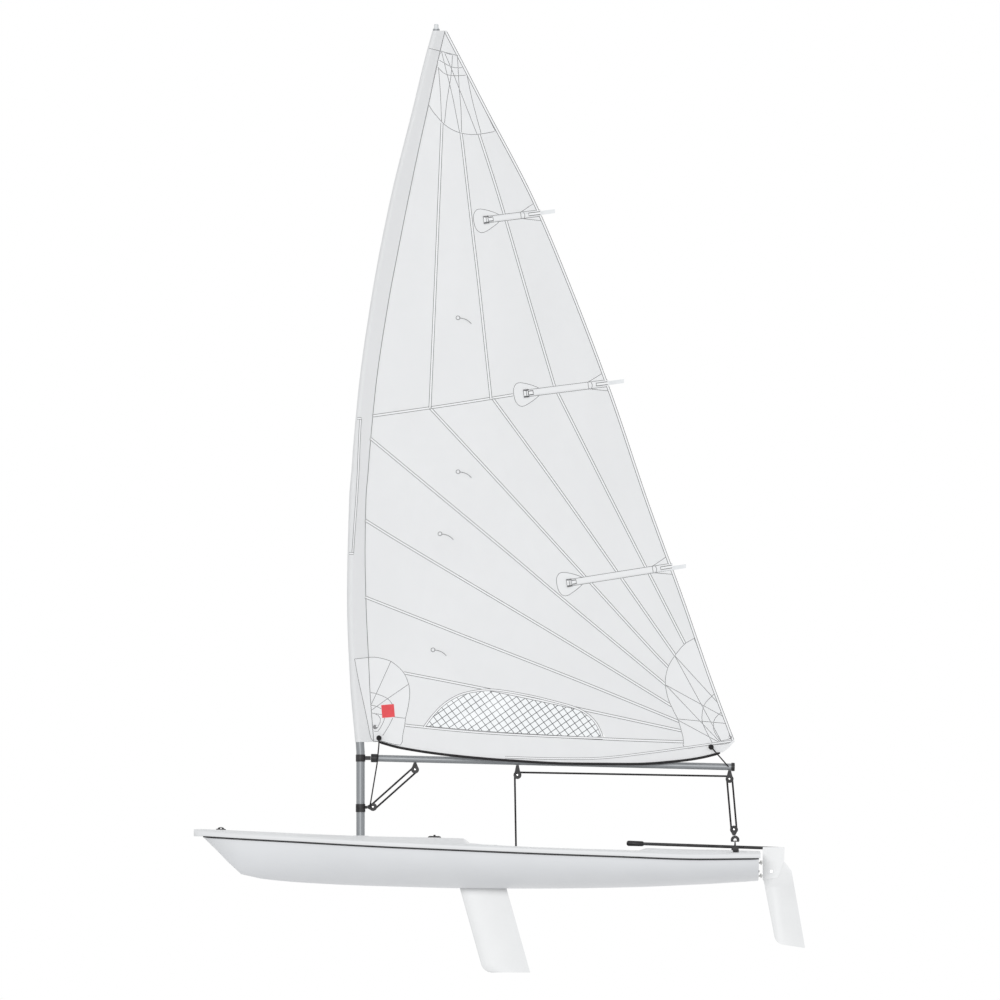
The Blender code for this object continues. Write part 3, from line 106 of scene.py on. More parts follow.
# The mast's joint, and the length over which the sleeve narrows above it
JOINT_Z, JOINT_TAPER = 2.840, 0.20
SLEEVE_LOWER, SLEEVE_UPPER = 0.03485, 0.0285
SLEEVE_CLOTH = 0.0022
# Where the sleeve's cloth leaves the mast, as an angle from straight aft, and how far its inner face
# stops before the seam
SLEEVE_WRAP = math.radians(67.5)
SLEEVE_SEWN = 0.012
CLOTH = 0.0016
CAMBER = 0.050

# Sewn layers: their widths, and how high they lie over the face of the cloth
SEAM_WIDTH, SEAM_LIFT = 0.021, 0.0007
STITCH_WIDTH, STITCH_LIFT = 0.0062, 0.0018
TAPE_LIFT = 0.0024
PATCH_LIFT = 0.0010
STICKER_LIFT = 0.0032
TAPE_WIDTH = 0.018
LUFF_PATCH_EDGE = 0.0172
POCKET_HEIGHT = 0.0062

ROPE_RADIUS = 0.007
LINE_RADIUS = 0.005
TRAVELLER_RADIUS = 0.004
FOOT_CORD_RADIUS = 0.0098
KNOT_RADIUS = 0.0098


def px(x, y):
    """A point of the drawing as (x, z) in metres."""
    return ((x - ORIGIN_PX[0]) * SCALE, (ORIGIN_PX[1] - y) * SCALE)


def pixels(points):
    return [px(*point) for point in points]


def blend(a, b, t):
    return a + (b - a) * t


def curve_value(table, x, column=1):
    """A smooth value through a table's rows that never swings past them, as the CAD reads them."""
    rows = [(row[0], row[column]) for row in table]
    x = min(max(x, rows[0][0]), rows[-1][0])
    slopes = [(b[1] - a[1]) / (b[0] - a[0]) for a, b in zip(rows, rows[1:])]
    last = len(slopes) - 1
    k = min(next((i for i, row in enumerate(rows[1:]) if x <= row[0]), last), last)

    def tangent(i):
        if i in (0, len(rows) - 1):
            return slopes[0] if i == 0 else slopes[last]
        before, after = slopes[i - 1], slopes[i]
        return 0.0 if before * after <= 0 else 2 * before * after / (before + after)

    span = rows[k + 1][0] - rows[k][0]
    t = (x - rows[k][0]) / span
    start, end = rows[k][1], rows[k + 1][1]
    return (
        start * (1 + 2 * t) * (1 - t) ** 2
        + end * t * t * (3 - 2 * t)
        + span * t * (1 - t) * (tangent(k) * (1 - t) - tangent(k + 1) * t)
    )


# Node materials


def feed(tree, socket, value):
    """A socket takes a number, a colour of three channels, or the output of another node."""
    if isinstance(value, bpy.types.NodeSocket):
        tree.links.new(value, socket)
    elif socket.type == "RGBA":
        socket.default_value = (*value, 1.0)
    else:
        socket.default_value = value


def add(tree, kind, sockets=None, **settings):
    """A new node with its settings, and with what each of its sockets takes."""
    node = tree.nodes.new("ShaderNode" + kind)
    for key, value in settings.items():
        setattr(node, key, value)
    for key, value in (sockets or {}).items():
        feed(tree, node.inputs[key], value)
    return node


def mixed(tree, share, first, second):
    """Two shaders, mixed by the second one's share."""
    return add(tree, "MixShader", {0: share, 1: first, 2: second}).outputs[0]


def show(tree, surface):
    feed(tree, tree.nodes["Material Output"].inputs["Surface"], surface)


class Recipe:
    """A material under construction: its Principled shader, its coordinates and a few node makers."""

    def __init__(self, name, colour, roughness, sockets=None):
        self.material = bpy.data.materials.new(name)
        self.material.use_nodes = True
        self.tree = self.material.node_tree
        self.shader = self.tree.nodes["Principled BSDF"]
        self.coords = add(self.tree, "TexCoord").outputs
        self.normal = None
        for key, value in {"Base Color": colour, "Roughness": roughness, **(sockets or {})}.items():
            self.set(key, value)

    def set(self, key, value):
        feed(self.tree, self.shader.inputs[key], value)

    def mapped(self, source="Object", scale=(1, 1, 1), turn=(0, 0, 0)):
        sockets = {"Vector": self.coords[source], "Scale": scale, "Rotation": turn}
        return add(self.tree, "Mapping", sockets).outputs["Vector"]

    def noise(self, vector, scale, detail=3.0, rough=0.55):
        sockets = {"Vector": vector, "Scale": scale, "Detail": detail, "Roughness": rough}
        return add(self.tree, "TexNoise", sockets).outputs["Fac"]

    def wave(self, vector, scale, direction):
        sockets = {"Vector": vector, "Scale": scale}
        return add(self.tree, "TexWave", sockets, bands_direction=direction).outputs["Fac"]

    def math(self, operation, *values):
        return add(self.tree, "Math", dict(enumerate(values)), operation=operation).outputs[0]

    def times(self, one, other):
        return self.math("MULTIPLY", one, other)

    def ramp(self, value, low, high, out_low=0.0, out_high=1.0):
        sockets = {"Value": value, "From Min": low, "From Max": high, "To Min": out_low, "To Max": out_high}
        return add(self.tree, "MapRange", sockets).outputs["Result"]

    def mix(self, share, first, second):
        return add(self.tree, "Mix", {0: share, 6: first, 7: second}, data_type="RGBA").outputs[2]

    def tones(self, share, colour, low, high):
        """A colour between a darker and a lighter shade of it."""
        return self.mix(share, shade(colour, low), shade(colour, high))

    def split(self, vector):
        return add(self.tree, "SeparateXYZ", {0: vector}).outputs

    def weave(self):
        """The crossed threads of sailcloth."""
        space = self.mapped()
        return self.times(self.wave(space, 210, "X"), self.wave(space, 210, "Z"))

    def bump(self, height, strength, distance):
        sockets = {"Height": height, "Strength": strength, "Distance": distance}
        if self.normal is not None:
            sockets["Normal"] = self.normal
        self.normal = add(self.tree, "Bump", sockets).outputs["Normal"]
        self.set("Normal", self.normal)


def shade(colour, factor):
    return tuple(min(1.0, channel * factor) for channel in colour)


def gelcoat(name, colour, nonskid=False):
    """Polished gelcoat: faint mottling and run marks, fine scuffs, and a nonskid grain on level ground."""
    r = Recipe(name, colour, 0.24, {"Coat Weight": 0.08, "Coat Roughness": 0.25, "Specular IOR Level": 0.32})
    space = r.mapped()
    streaks = r.noise(r.mapped(scale=(1.2, 1.2, 14.0)), 3.0, 5, 0.65)
    tone = r.tones(r.ramp(r.noise(space, 2.6, 4), 0.3, 0.75), colour, 0.968, 1.01)
    r.set("Base Color", r.mix(r.ramp(streaks, 0.56, 0.82, 0.0, 0.30), tone, shade(colour, 0.93)))
    scuffs = r.noise(r.mapped(scale=(9, 40, 40)), 8.0, 6, 0.7)
    gloss = r.ramp(scuffs, 0.4, 0.8, 0.30, 0.46)
    r.bump(r.noise(space, 70, 2), 0.04, 0.0003)
    if nonskid:
        flat = r.ramp(r.split(r.coords["Normal"])["Z"], 0.965, 0.985)
        grain = add(r.tree, "TexVoronoi", {"Vector": space, "Scale": 210}).outputs["Distance"]
        r.bump(r.times(r.ramp(grain, 0.0, 0.7, 1.0, 0.0), flat), 0.22, 0.0005)
        gloss = r.math("ADD", gloss, r.times(flat, 0.30))
    r.set("Roughness", gloss)
    return r.material


def cloth(name, colour, translucent=0.16, relief=1.0):
    """Woven polyester: crossed threads with painted shade in the gaps between them, soft creases, and a little
    light through it.
    """
    r = Recipe(name, colour, 0.62, {"Sheen Weight": 0.12})
    threads = r.weave()
    mottle = r.noise(r.mapped(scale=(1.0, 1.0, 0.6)), 1.8, 5)
    cloudy = r.tones(r.ramp(mottle, 0.3, 0.75), colour, 0.972, 1.005)
    # painted shade: the gaps between the threads, low in the weave's relief, a little darker
    r.set("Base Color", r.mix(r.ramp(threads, 0.0, 1.0, 0.10, 0.0), cloudy, shade(colour, 0.88)))
    r.set("Roughness", r.ramp(r.noise(r.mapped(), 14, 3), 0.3, 0.7, 0.55, 0.72))
    creases = r.noise(r.mapped(scale=(2.2, 1.0, 0.55), turn=(0, math.radians(24), 0)), 2.2, 4, 0.5)
    r.bump(creases, 0.16 * relief, 0.012)
    r.bump(threads, 0.30 * relief, 0.0002)
    glow = add(r.tree, "BsdfTranslucent", {"Color": shade(colour, 0.96)})
    show(r.tree, mixed(r.tree, translucent, r.shader.outputs[0], glow.outputs[0]))
    return r.material


def stitched(name, cloth_colour, thread, edges=True):
    """A sewn strip. Its UV runs in metres along it and from 0 to 1 across it, with zigzag rows of thread:
    one along each edge, or a single one down the middle."""
    r = Recipe(name, cloth_colour, 0.65)
    along, across = r.split(r.coords["UV"])[:2]
    zigzag = r.math("PINGPONG", r.times(along, 140.0), 1.0)
    from_middle = r.math("SUBTRACT", across, 0.5)
    if edges:
        swing, middle, low, high = 0.05, 0.365, 0.075, 0.105
        from_middle = r.math("ABSOLUTE", from_middle)
    else:
        swing, middle, low, high = 0.30, -0.15, 0.24, 0.33
    thread_line = r.math("MULTIPLY_ADD", zigzag, swing, middle)
    row = r.ramp(r.math("ABSOLUTE", r.math("SUBTRACT", from_middle, thread_line)), low, high, 1.0, 0.0)
    fleck = r.ramp(r.noise(r.mapped("UV", (900, 3, 1)), 1.0, 1), 0.25, 0.45, 0.72, 1.0)
    row = r.times(row, fleck)
    # painted shade: the gaps in the cloth's weave a little darker, as on the sail's cloth
    ground = r.mix(r.ramp(r.weave(), 0, 1, 0.10, 0.0), cloth_colour, shade(cloth_colour, 0.88))
    r.set("Base Color", r.mix(row, ground, thread))
    r.set("Roughness", r.ramp(r.noise(r.mapped(), 30, 2), 0.3, 0.7, 0.55, 0.75))
    r.bump(row, 0.5, 0.0006)
    return r.material


def window_film(name):
    """Clear laminated film with a crossed grid of dark threads in it."""
    film = (0.90, 0.92, 0.93)
    r = Recipe(name, film, 0.12, {"Coat Weight": 0.3})
    lines = []
    for turn in (34, -53):
        across = r.split(r.mapped(turn=(0, math.radians(turn), 0)))["Z"]
        lines.append(r.ramp(r.math("PINGPONG", across, 0.0225), 0.0018, 0.0032, 1.0, 0.0))
    thread = r.math("MAXIMUM", *lines)
    r.set("Base Color", r.mix(thread, film, (0.075, 0.075, 0.080)))
    r.set("Roughness", r.ramp(r.noise(r.mapped(), 9, 4), 0.3, 0.7, 0.08, 0.22))
    r.bump(r.noise(r.mapped(), 5, 3), 0.10, 0.004)
    clear = add(r.tree, "BsdfTransparent", {"Color": (0.97, 0.98, 0.985)})
    show(r.tree, mixed(r.tree, r.ramp(thread, 0, 1, 0.20, 0.95), clear.outputs[0], r.shader.outputs[0]))
    return r.material


def braid(name, colour, tracer, pitch=95.0, strands=8.0):
    """Braided cover: two sets of strands crossing round the rope, with a painted highlight on the strands'
    crowns and painted shade in the grooves between them. Its UV is metres along, turns round.
    """
    r = Recipe(name, colour, 0.82, {"Specular IOR Level": 0.30})
    run, turn = r.split(r.coords["UV"])[:2]
    along = r.times(run, pitch)
    around = r.times(turn, strands)
    one = r.math("PINGPONG", r.math("ADD", along, around), 0.5)
    other = r.math("PINGPONG", r.math("SUBTRACT", along, around), 0.5)
    weave = r.times(r.times(one, other), 4.0)
    fleck = r.ramp(r.noise(r.mapped("UV", (pitch * 2.2, strands * 2, 1)), 1.0, 2), 0.55, 0.7)
    # painted shade in the grooves and painted highlight on the crowns, following the weave's relief
    tone = r.tones(r.ramp(weave, 0.0, 0.8), colour, 0.45, 1.5)
    r.set("Base Color", r.mix(r.times(fleck, 0.35), tone, tracer))
    r.set("Roughness", r.ramp(weave, 0.0, 1.0, 0.9, 0.72))
    r.bump(weave, 0.8, 0.0009)
    return r.material


def anodised(name, colour):
    """Satin anodised tube with drawing marks along it and a few rubbed patches."""
    r = Recipe(name, colour, 0.40, {"Metallic": 0.25})
    long_marks = r.noise(r.mapped(scale=(7, 60, 7)), 9, 5, 0.7)
    upright_marks = r.noise(r.mapped(scale=(140, 140, 3)), 2, 4, 0.65)
    marks = r.times(r.math("ADD", long_marks, upright_marks), 0.5)
    rubbed = r.ramp(r.noise(r.mapped(), 3.2, 5, 0.6), 0.55, 0.8)
    tone = r.tones(r.ramp(marks, 0.35, 0.65), colour, 0.90, 1.10)
    r.set("Base Color", r.mix(r.times(rubbed, 0.35), tone, shade(colour, 1.35)))
    gloss = r.ramp(marks, 0.3, 0.7, 0.32, 0.48)
    r.set("Roughness", r.math("ADD", gloss, r.times(rubbed, -0.06)))
    r.bump(marks, 0.10, 0.0003)
    return r.material


def moulded(name, colour, grain=320):
    """Moulded black nylon: fine grain, paler where it is rubbed."""
    r = Recipe(name, colour, 0.42, {"Specular IOR Level": 0.26})
    fine = r.noise(r.mapped(), grain, 3)
    blotch = r.noise(r.mapped(), 18, 4)
    edge = r.ramp(add(r.tree, "NewGeometry").outputs["Pointiness"], 0.52, 0.62)
    worn = r.times(edge, r.ramp(blotch, 0.4, 0.65))
    tone = r.tones(r.ramp(blotch, 0.3, 0.7), colour, 0.8, 1.3)
    r.set("Base Color", r.mix(r.times(worn, 0.4), tone, (0.07, 0.07, 0.072)))
    r.set("Roughness", r.ramp(fine, 0.3, 0.7, 0.36, 0.54))
    r.bump(fine, 0.25, 0.0004)
    return r.material


def brushed(name, colour):
    """Brushed metal with fine scratches across it."""
    r = Recipe(name, colour, 0.30, {"Metallic": 1.0})
    marks = r.noise(r.mapped(scale=(30, 30, 400)), 4, 4, 0.7)
    r.set("Base Color", r.tones(r.ramp(marks, 0.35, 0.65), colour, 0.86, 1.08))
    r.set("Roughness", r.ramp(marks, 0.3, 0.7, 0.22, 0.40))
    r.bump(marks, 0.12, 0.0002)
    return r.material


def webbing(name, colour):
    """Woven strap: ribs along it, crossed by the weft, with a painted highlight on the ribs and painted shade
    between them.
    """
    r = Recipe(name, colour, 0.86)
    weave = r.times(r.wave(r.mapped(), 60, "Y"), r.wave(r.mapped(), 140, "X"))
    # painted shade between the ribs and painted highlight on them, following the weave's relief
    r.set("Base Color", r.tones(weave, colour, 0.6, 1.8))
    r.set("Roughness", r.ramp(weave, 0, 1, 0.9, 0.76))
    r.bump(weave, 0.7, 0.0008)
    return r.material


def vinyl(name, colour):
    """Smooth plastic, faintly patchy, that shows the weave under it."""
    r = Recipe(name, colour, 0.35)
    patchy = r.noise(r.mapped(), 40, 3)
    r.set("Base Color", r.tones(r.ramp(patchy, 0.3, 0.7), colour, 0.93, 1.04))
    r.set("Roughness", r.ramp(patchy, 0.3, 0.7, 0.30, 0.44))
    r.bump(r.weave(), 0.15, 0.0002)
    return r.material


WHITE_CLOTH = (0.885, 0.888, 0.892)
FINISHES = {
    "hull_gelcoat": gelcoat("hull_finish", (0.835, 0.843, 0.858)),
    "deck_gelcoat": gelcoat("deck_finish", (0.820, 0.824, 0.830), nonskid=True),
    "foil_gelcoat": gelcoat("foil_finish", (0.835, 0.837, 0.836)),
    "sailcloth": cloth("sail_panels", WHITE_CLOTH),
    "patch": cloth("sail_patches", (0.878, 0.881, 0.886), 0.06, 0.8),
    "pocket": cloth("batten_pockets", (0.880, 0.883, 0.888), 0.05, 0.8),
    "seam": stitched("sewn_seams", WHITE_CLOTH, (0.050, 0.050, 0.053)),
    "stitch": stitched("stitch_rows", WHITE_CLOTH, (0.055, 0.055, 0.058), edges=False),
    "window": window_film("window_film"),
    "spar_alloy": anodised("spar_finish", (0.268, 0.280, 0.292)),
    "black_plastic": moulded("black_nylon", (0.018, 0.017, 0.018)),
    "steel": brushed("stainless", (0.62, 0.62, 0.61)),
    "dull_metal": brushed("dulled_eyes", (0.24, 0.24, 0.245)),
    "black_rope": braid("black_braid", (0.022, 0.020, 0.021), (0.10, 0.10, 0.105)),
    "webbing": webbing("black_webbing", (0.030, 0.030, 0.033)),
    "batten_plastic": vinyl("batten_glass", (0.74, 0.755, 0.765)),
    "red_vinyl": vinyl("red_sticker", (0.74, 0.050, 0.062)),
    "grey_yarn": braid("telltale_yarn", (0.16, 0.16, 0.165), (0.28, 0.28, 0.29), 420, 5),
}


def finish_cad_nodes():
    """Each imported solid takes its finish, and its facets are shaded as the smooth surface they stand for."""
    slots = {row["node"]: row["material_slot"] for row in frame["record"]["subparts"]}
    for name, obj in frame["nodes"].items():
        obj.data.materials.clear()
        obj.data.materials.append(FINISHES[slots[name]])
        custom = obj.data.attributes.get("custom_normal")
        if custom:
            obj.data.attributes.remove(custom)
        for polygon in obj.data.polygons:
            polygon.use_smooth = True
        weld = obj.modifiers.new("weld", "WELD")
        weld.merge_threshold = 0.00001
        split = obj.modifiers.new("sharp_edges", "EDGE_SPLIT")
        split.split_angle = math.radians(30)


# Shapes


def placed(name, data):
    """A new object in the scene for a mesh, a lamp or a camera."""
    made = bpy.data.objects.new(name, data)
    bpy.context.scene.collection.objects.link(made)
    return made


def soften(mesh):
    """Smooth shading, with the edges over 35 degrees left sharp."""
    mesh.shade_smooth()
    mesh.set_sharp_from_angle(angle=math.radians(35))


def solid(name, points, faces, material, body, uvs=None, smooth=True):
    """A mesh piece from points, riding on a body. uvs holds one (u, v) for each face corner."""
    mesh = bpy.data.meshes.new(name)
    mesh.from_pydata([tuple(point) for point in points], [], faces)
    if uvs:
        layer = mesh.uv_layers.new(name="UVMap")
        for loop, uv in zip(layer.data, uvs):
            loop.uv = uv
    if smooth:
        soften(mesh)
    mesh.materials.append(FINISHES[material])
    obj = placed(name, mesh)
    if body:
        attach(obj, body)
    return obj


def turn_outward(mesh):
    """The faces of a closed mesh, turned to point out of it."""
    work = bmesh.new()
    work.from_mesh(mesh)
    bmesh.ops.recalc_face_normals(work, faces=work.faces)
    work.to_mesh(mesh)
    work.free()


def circle(sides, radius=1.0):
    angles = (2 * math.pi * k / sides for k in range(sides))
    return [(radius * math.cos(a), radius * math.sin(a)) for a in angles]


def loft_faces(count, sides, closed=False):
    """Faces over rings of points: the walls between them, and a cap on both ends of an open run."""
    faces = []
    for r in range(count if closed else count - 1):
        a, b = r * sides, (r + 1) % count * sides
        faces += [(a + k, a + (k + 1) % sides, b + (k + 1) % sides, b + k) for k in range(sides)]
    if not closed:
        faces += [tuple(range(sides))[::-1], tuple(range((count - 1) * sides, count * sides))]
    return faces


def through(points, step):
    """Points evenly spaced on a smooth curve through these."""
    points = [Vector(p) for p in points]
    dense = []
    for i in range(len(points) - 1):
        a, b = points[i], points[i + 1]
        before = points[i - 1] if i else a * 2 - b
        after = points[i + 2] if i + 2 < len(points) else b * 2 - a
        count = max(2, int((b - a).length / step * 2))
        for k in range(count):
            t = k / count
            dense.append(0.5 * (
                2 * a + (b - before) * t + (2 * before - 5 * a + 4 * b - after) * t * t
                + (3 * a - before - 3 * b + after) * t ** 3
            ))
    dense.append(points[-1])
    return respaced(dense, step)


def flat_curve(places, step):
    """The same through places that are (x, z)."""
    return through([(x, 0, z) for x, z in places], step)


def respaced(points, step):
    """Points evenly spaced along straight runs from one of these to the next."""
    points = [Vector(p) for p in points]
    lengths = [0.0]
    for a, b in zip(points, points[1:]):
        lengths.append(lengths[-1] + (b - a).length)
    count = max(1, round(lengths[-1] / step))
    out, k = [], 0
    for i in range(count + 1):
        goal = lengths[-1] * i / count
        while k < len(points) - 2 and lengths[k + 1] < goal:
            k += 1
        span = lengths[k + 1] - lengths[k]
        out.append(points[k].lerp(points[k + 1], (goal - lengths[k]) / span if span else 0.0))
    return out


def tube(name, path, radius, material, body, sides=12, closed=False):
    """A rope along a path, its ends rounded over, with UV in metres along and turns round."""
    path = [Vector(p) for p in path]
    count = len(path)
    normal = None
    points, lengths = [], [0.0]
    for i, point in enumerate(path):
        ahead = path[(i + 1) % count] if closed or i + 1 < count else point
        behind = path[i - 1] if closed or i else point
        tangent = (ahead - behind).normalized()
        if normal is None:
            normal = tangent.orthogonal().normalized()
        normal = (normal - tangent * normal.dot(tangent)).normalized()
        side = tangent.cross(normal)
        size = radius if closed or 0 < i < count - 1 else radius * 0.62
        points += [point + (normal * u + side * v) * size for u, v in circle(sides)]
        lengths.append(lengths[-1] + (ahead - point).length)
    uvs = []
    for start, end in zip(lengths, lengths[1:count if not closed else None]):
        for k in range(sides):
            low, high = k / sides, (k + 1) / sides
            uvs += [(start, low), (start, high), (end, high), (end, low)]
    if not closed:
        uvs += [(0.0, 0.5)] * sides + [(lengths[count - 1], 0.5)] * sides
    return solid(name, points, loft_faces(count, sides, closed), material, body, uvs)


def lathe(name, profile, centre, direction, material, body, sides=24):
    """A (along, radius) profile turned about an axis, closed at both ends."""
    turn = Vector(direction).to_track_quat("Z", "Y")
    points = [Vector(centre) + turn @ Vector((x, y, along))
              for along, radius in profile for x, y in circle(sides, radius)]
    return solid(name, points, loft_faces(len(profile), sides), material, body)


def join(name, pieces):
    """Several pieces of one kind made one object."""
    target = pieces[0]
    with bpy.context.temp_override(active_object=target, selected_editable_objects=pieces):
        bpy.ops.object.join()
    target.name = name
    return target


# The sail's surface


def mast_axis_x(z):
    return curve_value(RIG_ROWS, z, 1)


def leech_x(z):
    return curve_value(RIG_ROWS, z, 2)


def sleeve_radius(z):
    step = min(max((z - JOINT_Z) / JOINT_TAPER, 0.0), 1.0)
    return blend(SLEEVE_LOWER, SLEEVE_UPPER, step * step * (3 - 2 * step))


def seam_x(z):
    return mast_axis_x(z) - sleeve_radius(z) + curve_value(SLEEVE_ROWS, z)


def ripple(x, z, share):
    """Small creases: folds that run up from tack and clew, and a slack leech."""
    soft = noise.noise(Vector((x * 1.7 + z * 0.9, 3.1, z * 1.1 - x * 0.8))) * 0.0035
    to_tack = math.hypot(x + 0.74, z - 1.0)
    to_clew = math.hypot(x - 1.9, z - 1.0)
    fan_tack = math.sin(math.atan2(z - 1.0, x + 0.80) * 26) * 0.0016 * math.exp(-to_tack * 2.2)
    fan_clew = math.sin(math.atan2(z - 0.9, x - 1.98) * 30) * 0.0016 * math.exp(-to_clew * 2.0)
    edge = min(share, 1 - share) * 8
    return (soft + fan_tack + fan_clew) * min(max(edge, 0.0), 1.0)


def sail_y(x, z):
    level = max(z, RIG_ROWS[0][0])
    front, back = seam_x(level), leech_x(level)
    share = min(max((x - front) / (back - front), 0.0), 1.0)
    return -CAMBER * (back - front) * math.sin(math.pi * share ** 0.8) + ripple(x, z, share)


def sleeve_half(x, z):
    """Half thickness of the sleeve at a place between the mast's axis and its back seam."""
    axis, radius, seam = mast_axis_x(z), sleeve_radius(z), seam_x(z)
    leave_x = axis + radius * math.cos(SLEEVE_WRAP)
    if x >= leave_x:
        share = min((x - leave_x) / (seam - leave_x), 1.0)
        return blend(radius * math.sin(SLEEVE_WRAP), CLOTH / 2, share)
    return math.sqrt(max(radius ** 2 - (x - axis) ** 2, 0.0))


def cloth_face(x, z, side, lift=0.0):
    """A point on the sail's face: side -1 is port, 1 is starboard."""
    if x >= seam_x(z):
        return Vector((x, sail_y(x, z) + side * (CLOTH / 2 + lift), z))
    axis, radius, half = mast_axis_x(z), sleeve_radius(z), sleeve_half(x, z)
    outward = Vector((0, side, 0))
    if x < axis + radius * 0.38:
        outward = Vector(((x - axis) / radius, side * half / radius, 0))
    return Vector((x, side * half, z)) + outward * lift


def sail_row(part, chord_points, front_points):
    """The sail's section at a share of its height: outer and inner sleeve, port face, starboard face."""
    luff_z = blend(TACK_Z, HEAD_Z, part)
    clew_z = blend(CLEW_Z, HEAD_Z, part)
    axis, radius, seam = mast_axis_x(luff_z), sleeve_radius(luff_z), seam_x(luff_z)
    end = 2 * math.pi - SLEEVE_WRAP
    turns = [blend(SLEEVE_WRAP, end, i / (front_points - 1)) for i in range(front_points)]

    def ring(size, end_x, end_half):
        rim = [(axis + size * math.cos(a), size * math.sin(a)) for a in turns]
        leave_x, leave_y = rim[0]
        taper = [(blend(leave_x, end_x, s), blend(leave_y, end_half, s)) for s in (0.9, 0.75, 0.5, 0.25)]
        return taper + rim + [(x, -y) for x, y in taper[::-1]]

    outer = [(seam, CLOTH / 2)] + ring(radius, seam, CLOTH / 2) + [(seam, -CLOTH / 2)]
    inner_end = seam - SLEEVE_SEWN
    inner = [(inner_end, 0.0)] + ring(radius - SLEEVE_CLOTH, inner_end, 0.0)
    leech = leech_x(max(clew_z, RIG_ROWS[0][0]))
    sheet = []
    for i in range(1, chord_points + 1):
        share = i / chord_points
        x = blend(seam, leech, share)
        dip = curve_value(FOOT_CURVE, x) - blend(TACK_Z, CLEW_Z, share)
        z = blend(luff_z, clew_z, share) + dip * (1 - part) ** 5
        sheet.append((x, sail_y(x, z), z))
    return (
        [Vector((x, y, luff_z)) for x, y in outer],
        [Vector((x, y, luff_z)) for x, y in inner],
        [Vector((x, y - CLOTH / 2, z)) for x, y, z in sheet],
        [Vector((x, y + CLOTH / 2, z)) for x, y, z in sheet],
    )


def window_cutter():
    """A block with the window's outline that reaches through the cloth."""
    rim = flat_curve(WINDOW, 0.02)
    block = [(p.x, y, p.z) for y in (-0.4, 0.2) for p in rim]
    cutter = solid("window_cutter", block, loft_faces(2, len(rim)), "window", None, smooth=False)
    turn_outward(cutter.data)
    return cutter


def make_sail_cloth():
    """The sleeve and the body as one thin closed skin, with the window cut out of it."""
    rows_count, chord_points, front_points = 132, 64, 21
    points, faces, rows = [], [], []
    for r in range(rows_count + 1):
        row = []
        for group in sail_row(r / rows_count, chord_points, front_points):
            row.append(list(range(len(points), len(points) + len(group))))
            points += group
        rows.append(row)
    for low, high in zip(rows, rows[1:]):
        outer_low = low[0] + low[2] + low[3][::-1]
        outer_high = high[0] + high[2] + high[3][::-1]
        for a, b in ((outer_low, outer_high), (low[1][::-1], high[1][::-1])):
            for i in range(len(a)):
                j = (i + 1) % len(a)
                faces.append((a[i], a[j], b[j], b[i]))
    for row in (rows[0], rows[-1]):
        outer, inner, port, starboard = row
        ring = inner + inner[:1]
        faces += [(outer[i], outer[i + 1], ring[i + 1], ring[i]) for i in range(len(inner))]
        faces.append((outer[0], inner[0], outer[-1]))
        port, starboard = [outer[-1]] + port, [outer[0]] + starboard
        faces += [(port[i], port[i + 1], starboard[i + 1], starboard[i]) for i in range(len(port) - 1)]
    sail = solid("sail_cloth", points, faces, "sailcloth", None)
    turn_outward(sail.data)
    cutter = window_cutter()
    modifier = sail.modifiers.new("window", "BOOLEAN")
    modifier.operation, modifier.solver, modifier.object = "DIFFERENCE", "EXACT", cutter
    bpy.context.view_layer.update()
    cut = bpy.data.meshes.new_from_object(sail.evaluated_get(bpy.context.evaluated_depsgraph_get()))
    sail.modifiers.clear()
    sail.data = cut
    bpy.data.objects.remove(cutter)
    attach(sail, "rig")
    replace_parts(sail, "sail")
    return sail


def ribbon(name, path, width, material, lift=SEAM_LIFT, step=0.03, sides=(-1, 1), depth=0.0006):
    """A strip sewn on the sail along an (x, z) path, one skin on each face of the cloth."""
    line = flat_curve(path, step)
    points, faces, uvs = [], [], []
    for side in sides:
        start, total = len(points), 0.0
        for i, here in enumerate(line):
            ahead = line[min(i + 1, len(line) - 1)]
            behind = line[max(i - 1, 0)]
            tangent = (ahead - behind).normalized()
            across = Vector((-tangent.z, 0, tangent.x)) * width / 2
            for edge, height in ((-1, -depth), (-1, lift), (1, lift), (1, -depth)):
                spot = here + across * edge
                points.append(cloth_face(spot.x, spot.z, side, height))
        for i in range(len(line) - 1):
            grown = total + (line[i + 1] - line[i]).length
            for k, (v0, v1) in enumerate(((0.0, 0.0), (0.0, 1.0), (1.0, 1.0), (1.0, 0.0))):
                a, b = start + 4 * i + k, start + 4 * i + (k + 1) % 4
                face, corners = [a, b, b + 4, a + 4], [(total, v0), (total, v1), (grown, v1), (grown, v0)]
                if side > 0:
                    face, corners = face[::-1], corners[::-1]
                faces.append(tuple(face))
                uvs += corners
            total = grown
        for i, order in ((0, 1), (len(line) - 1, -1)):
            faces.append(tuple([start + 4 * i + k for k in range(4)][::order * side * -1]))
            uvs += [(0, 0), (0, 0.2), (0, 0.4), (0, 0.6)]
    return solid(name, points, faces, material, "rig", uvs)


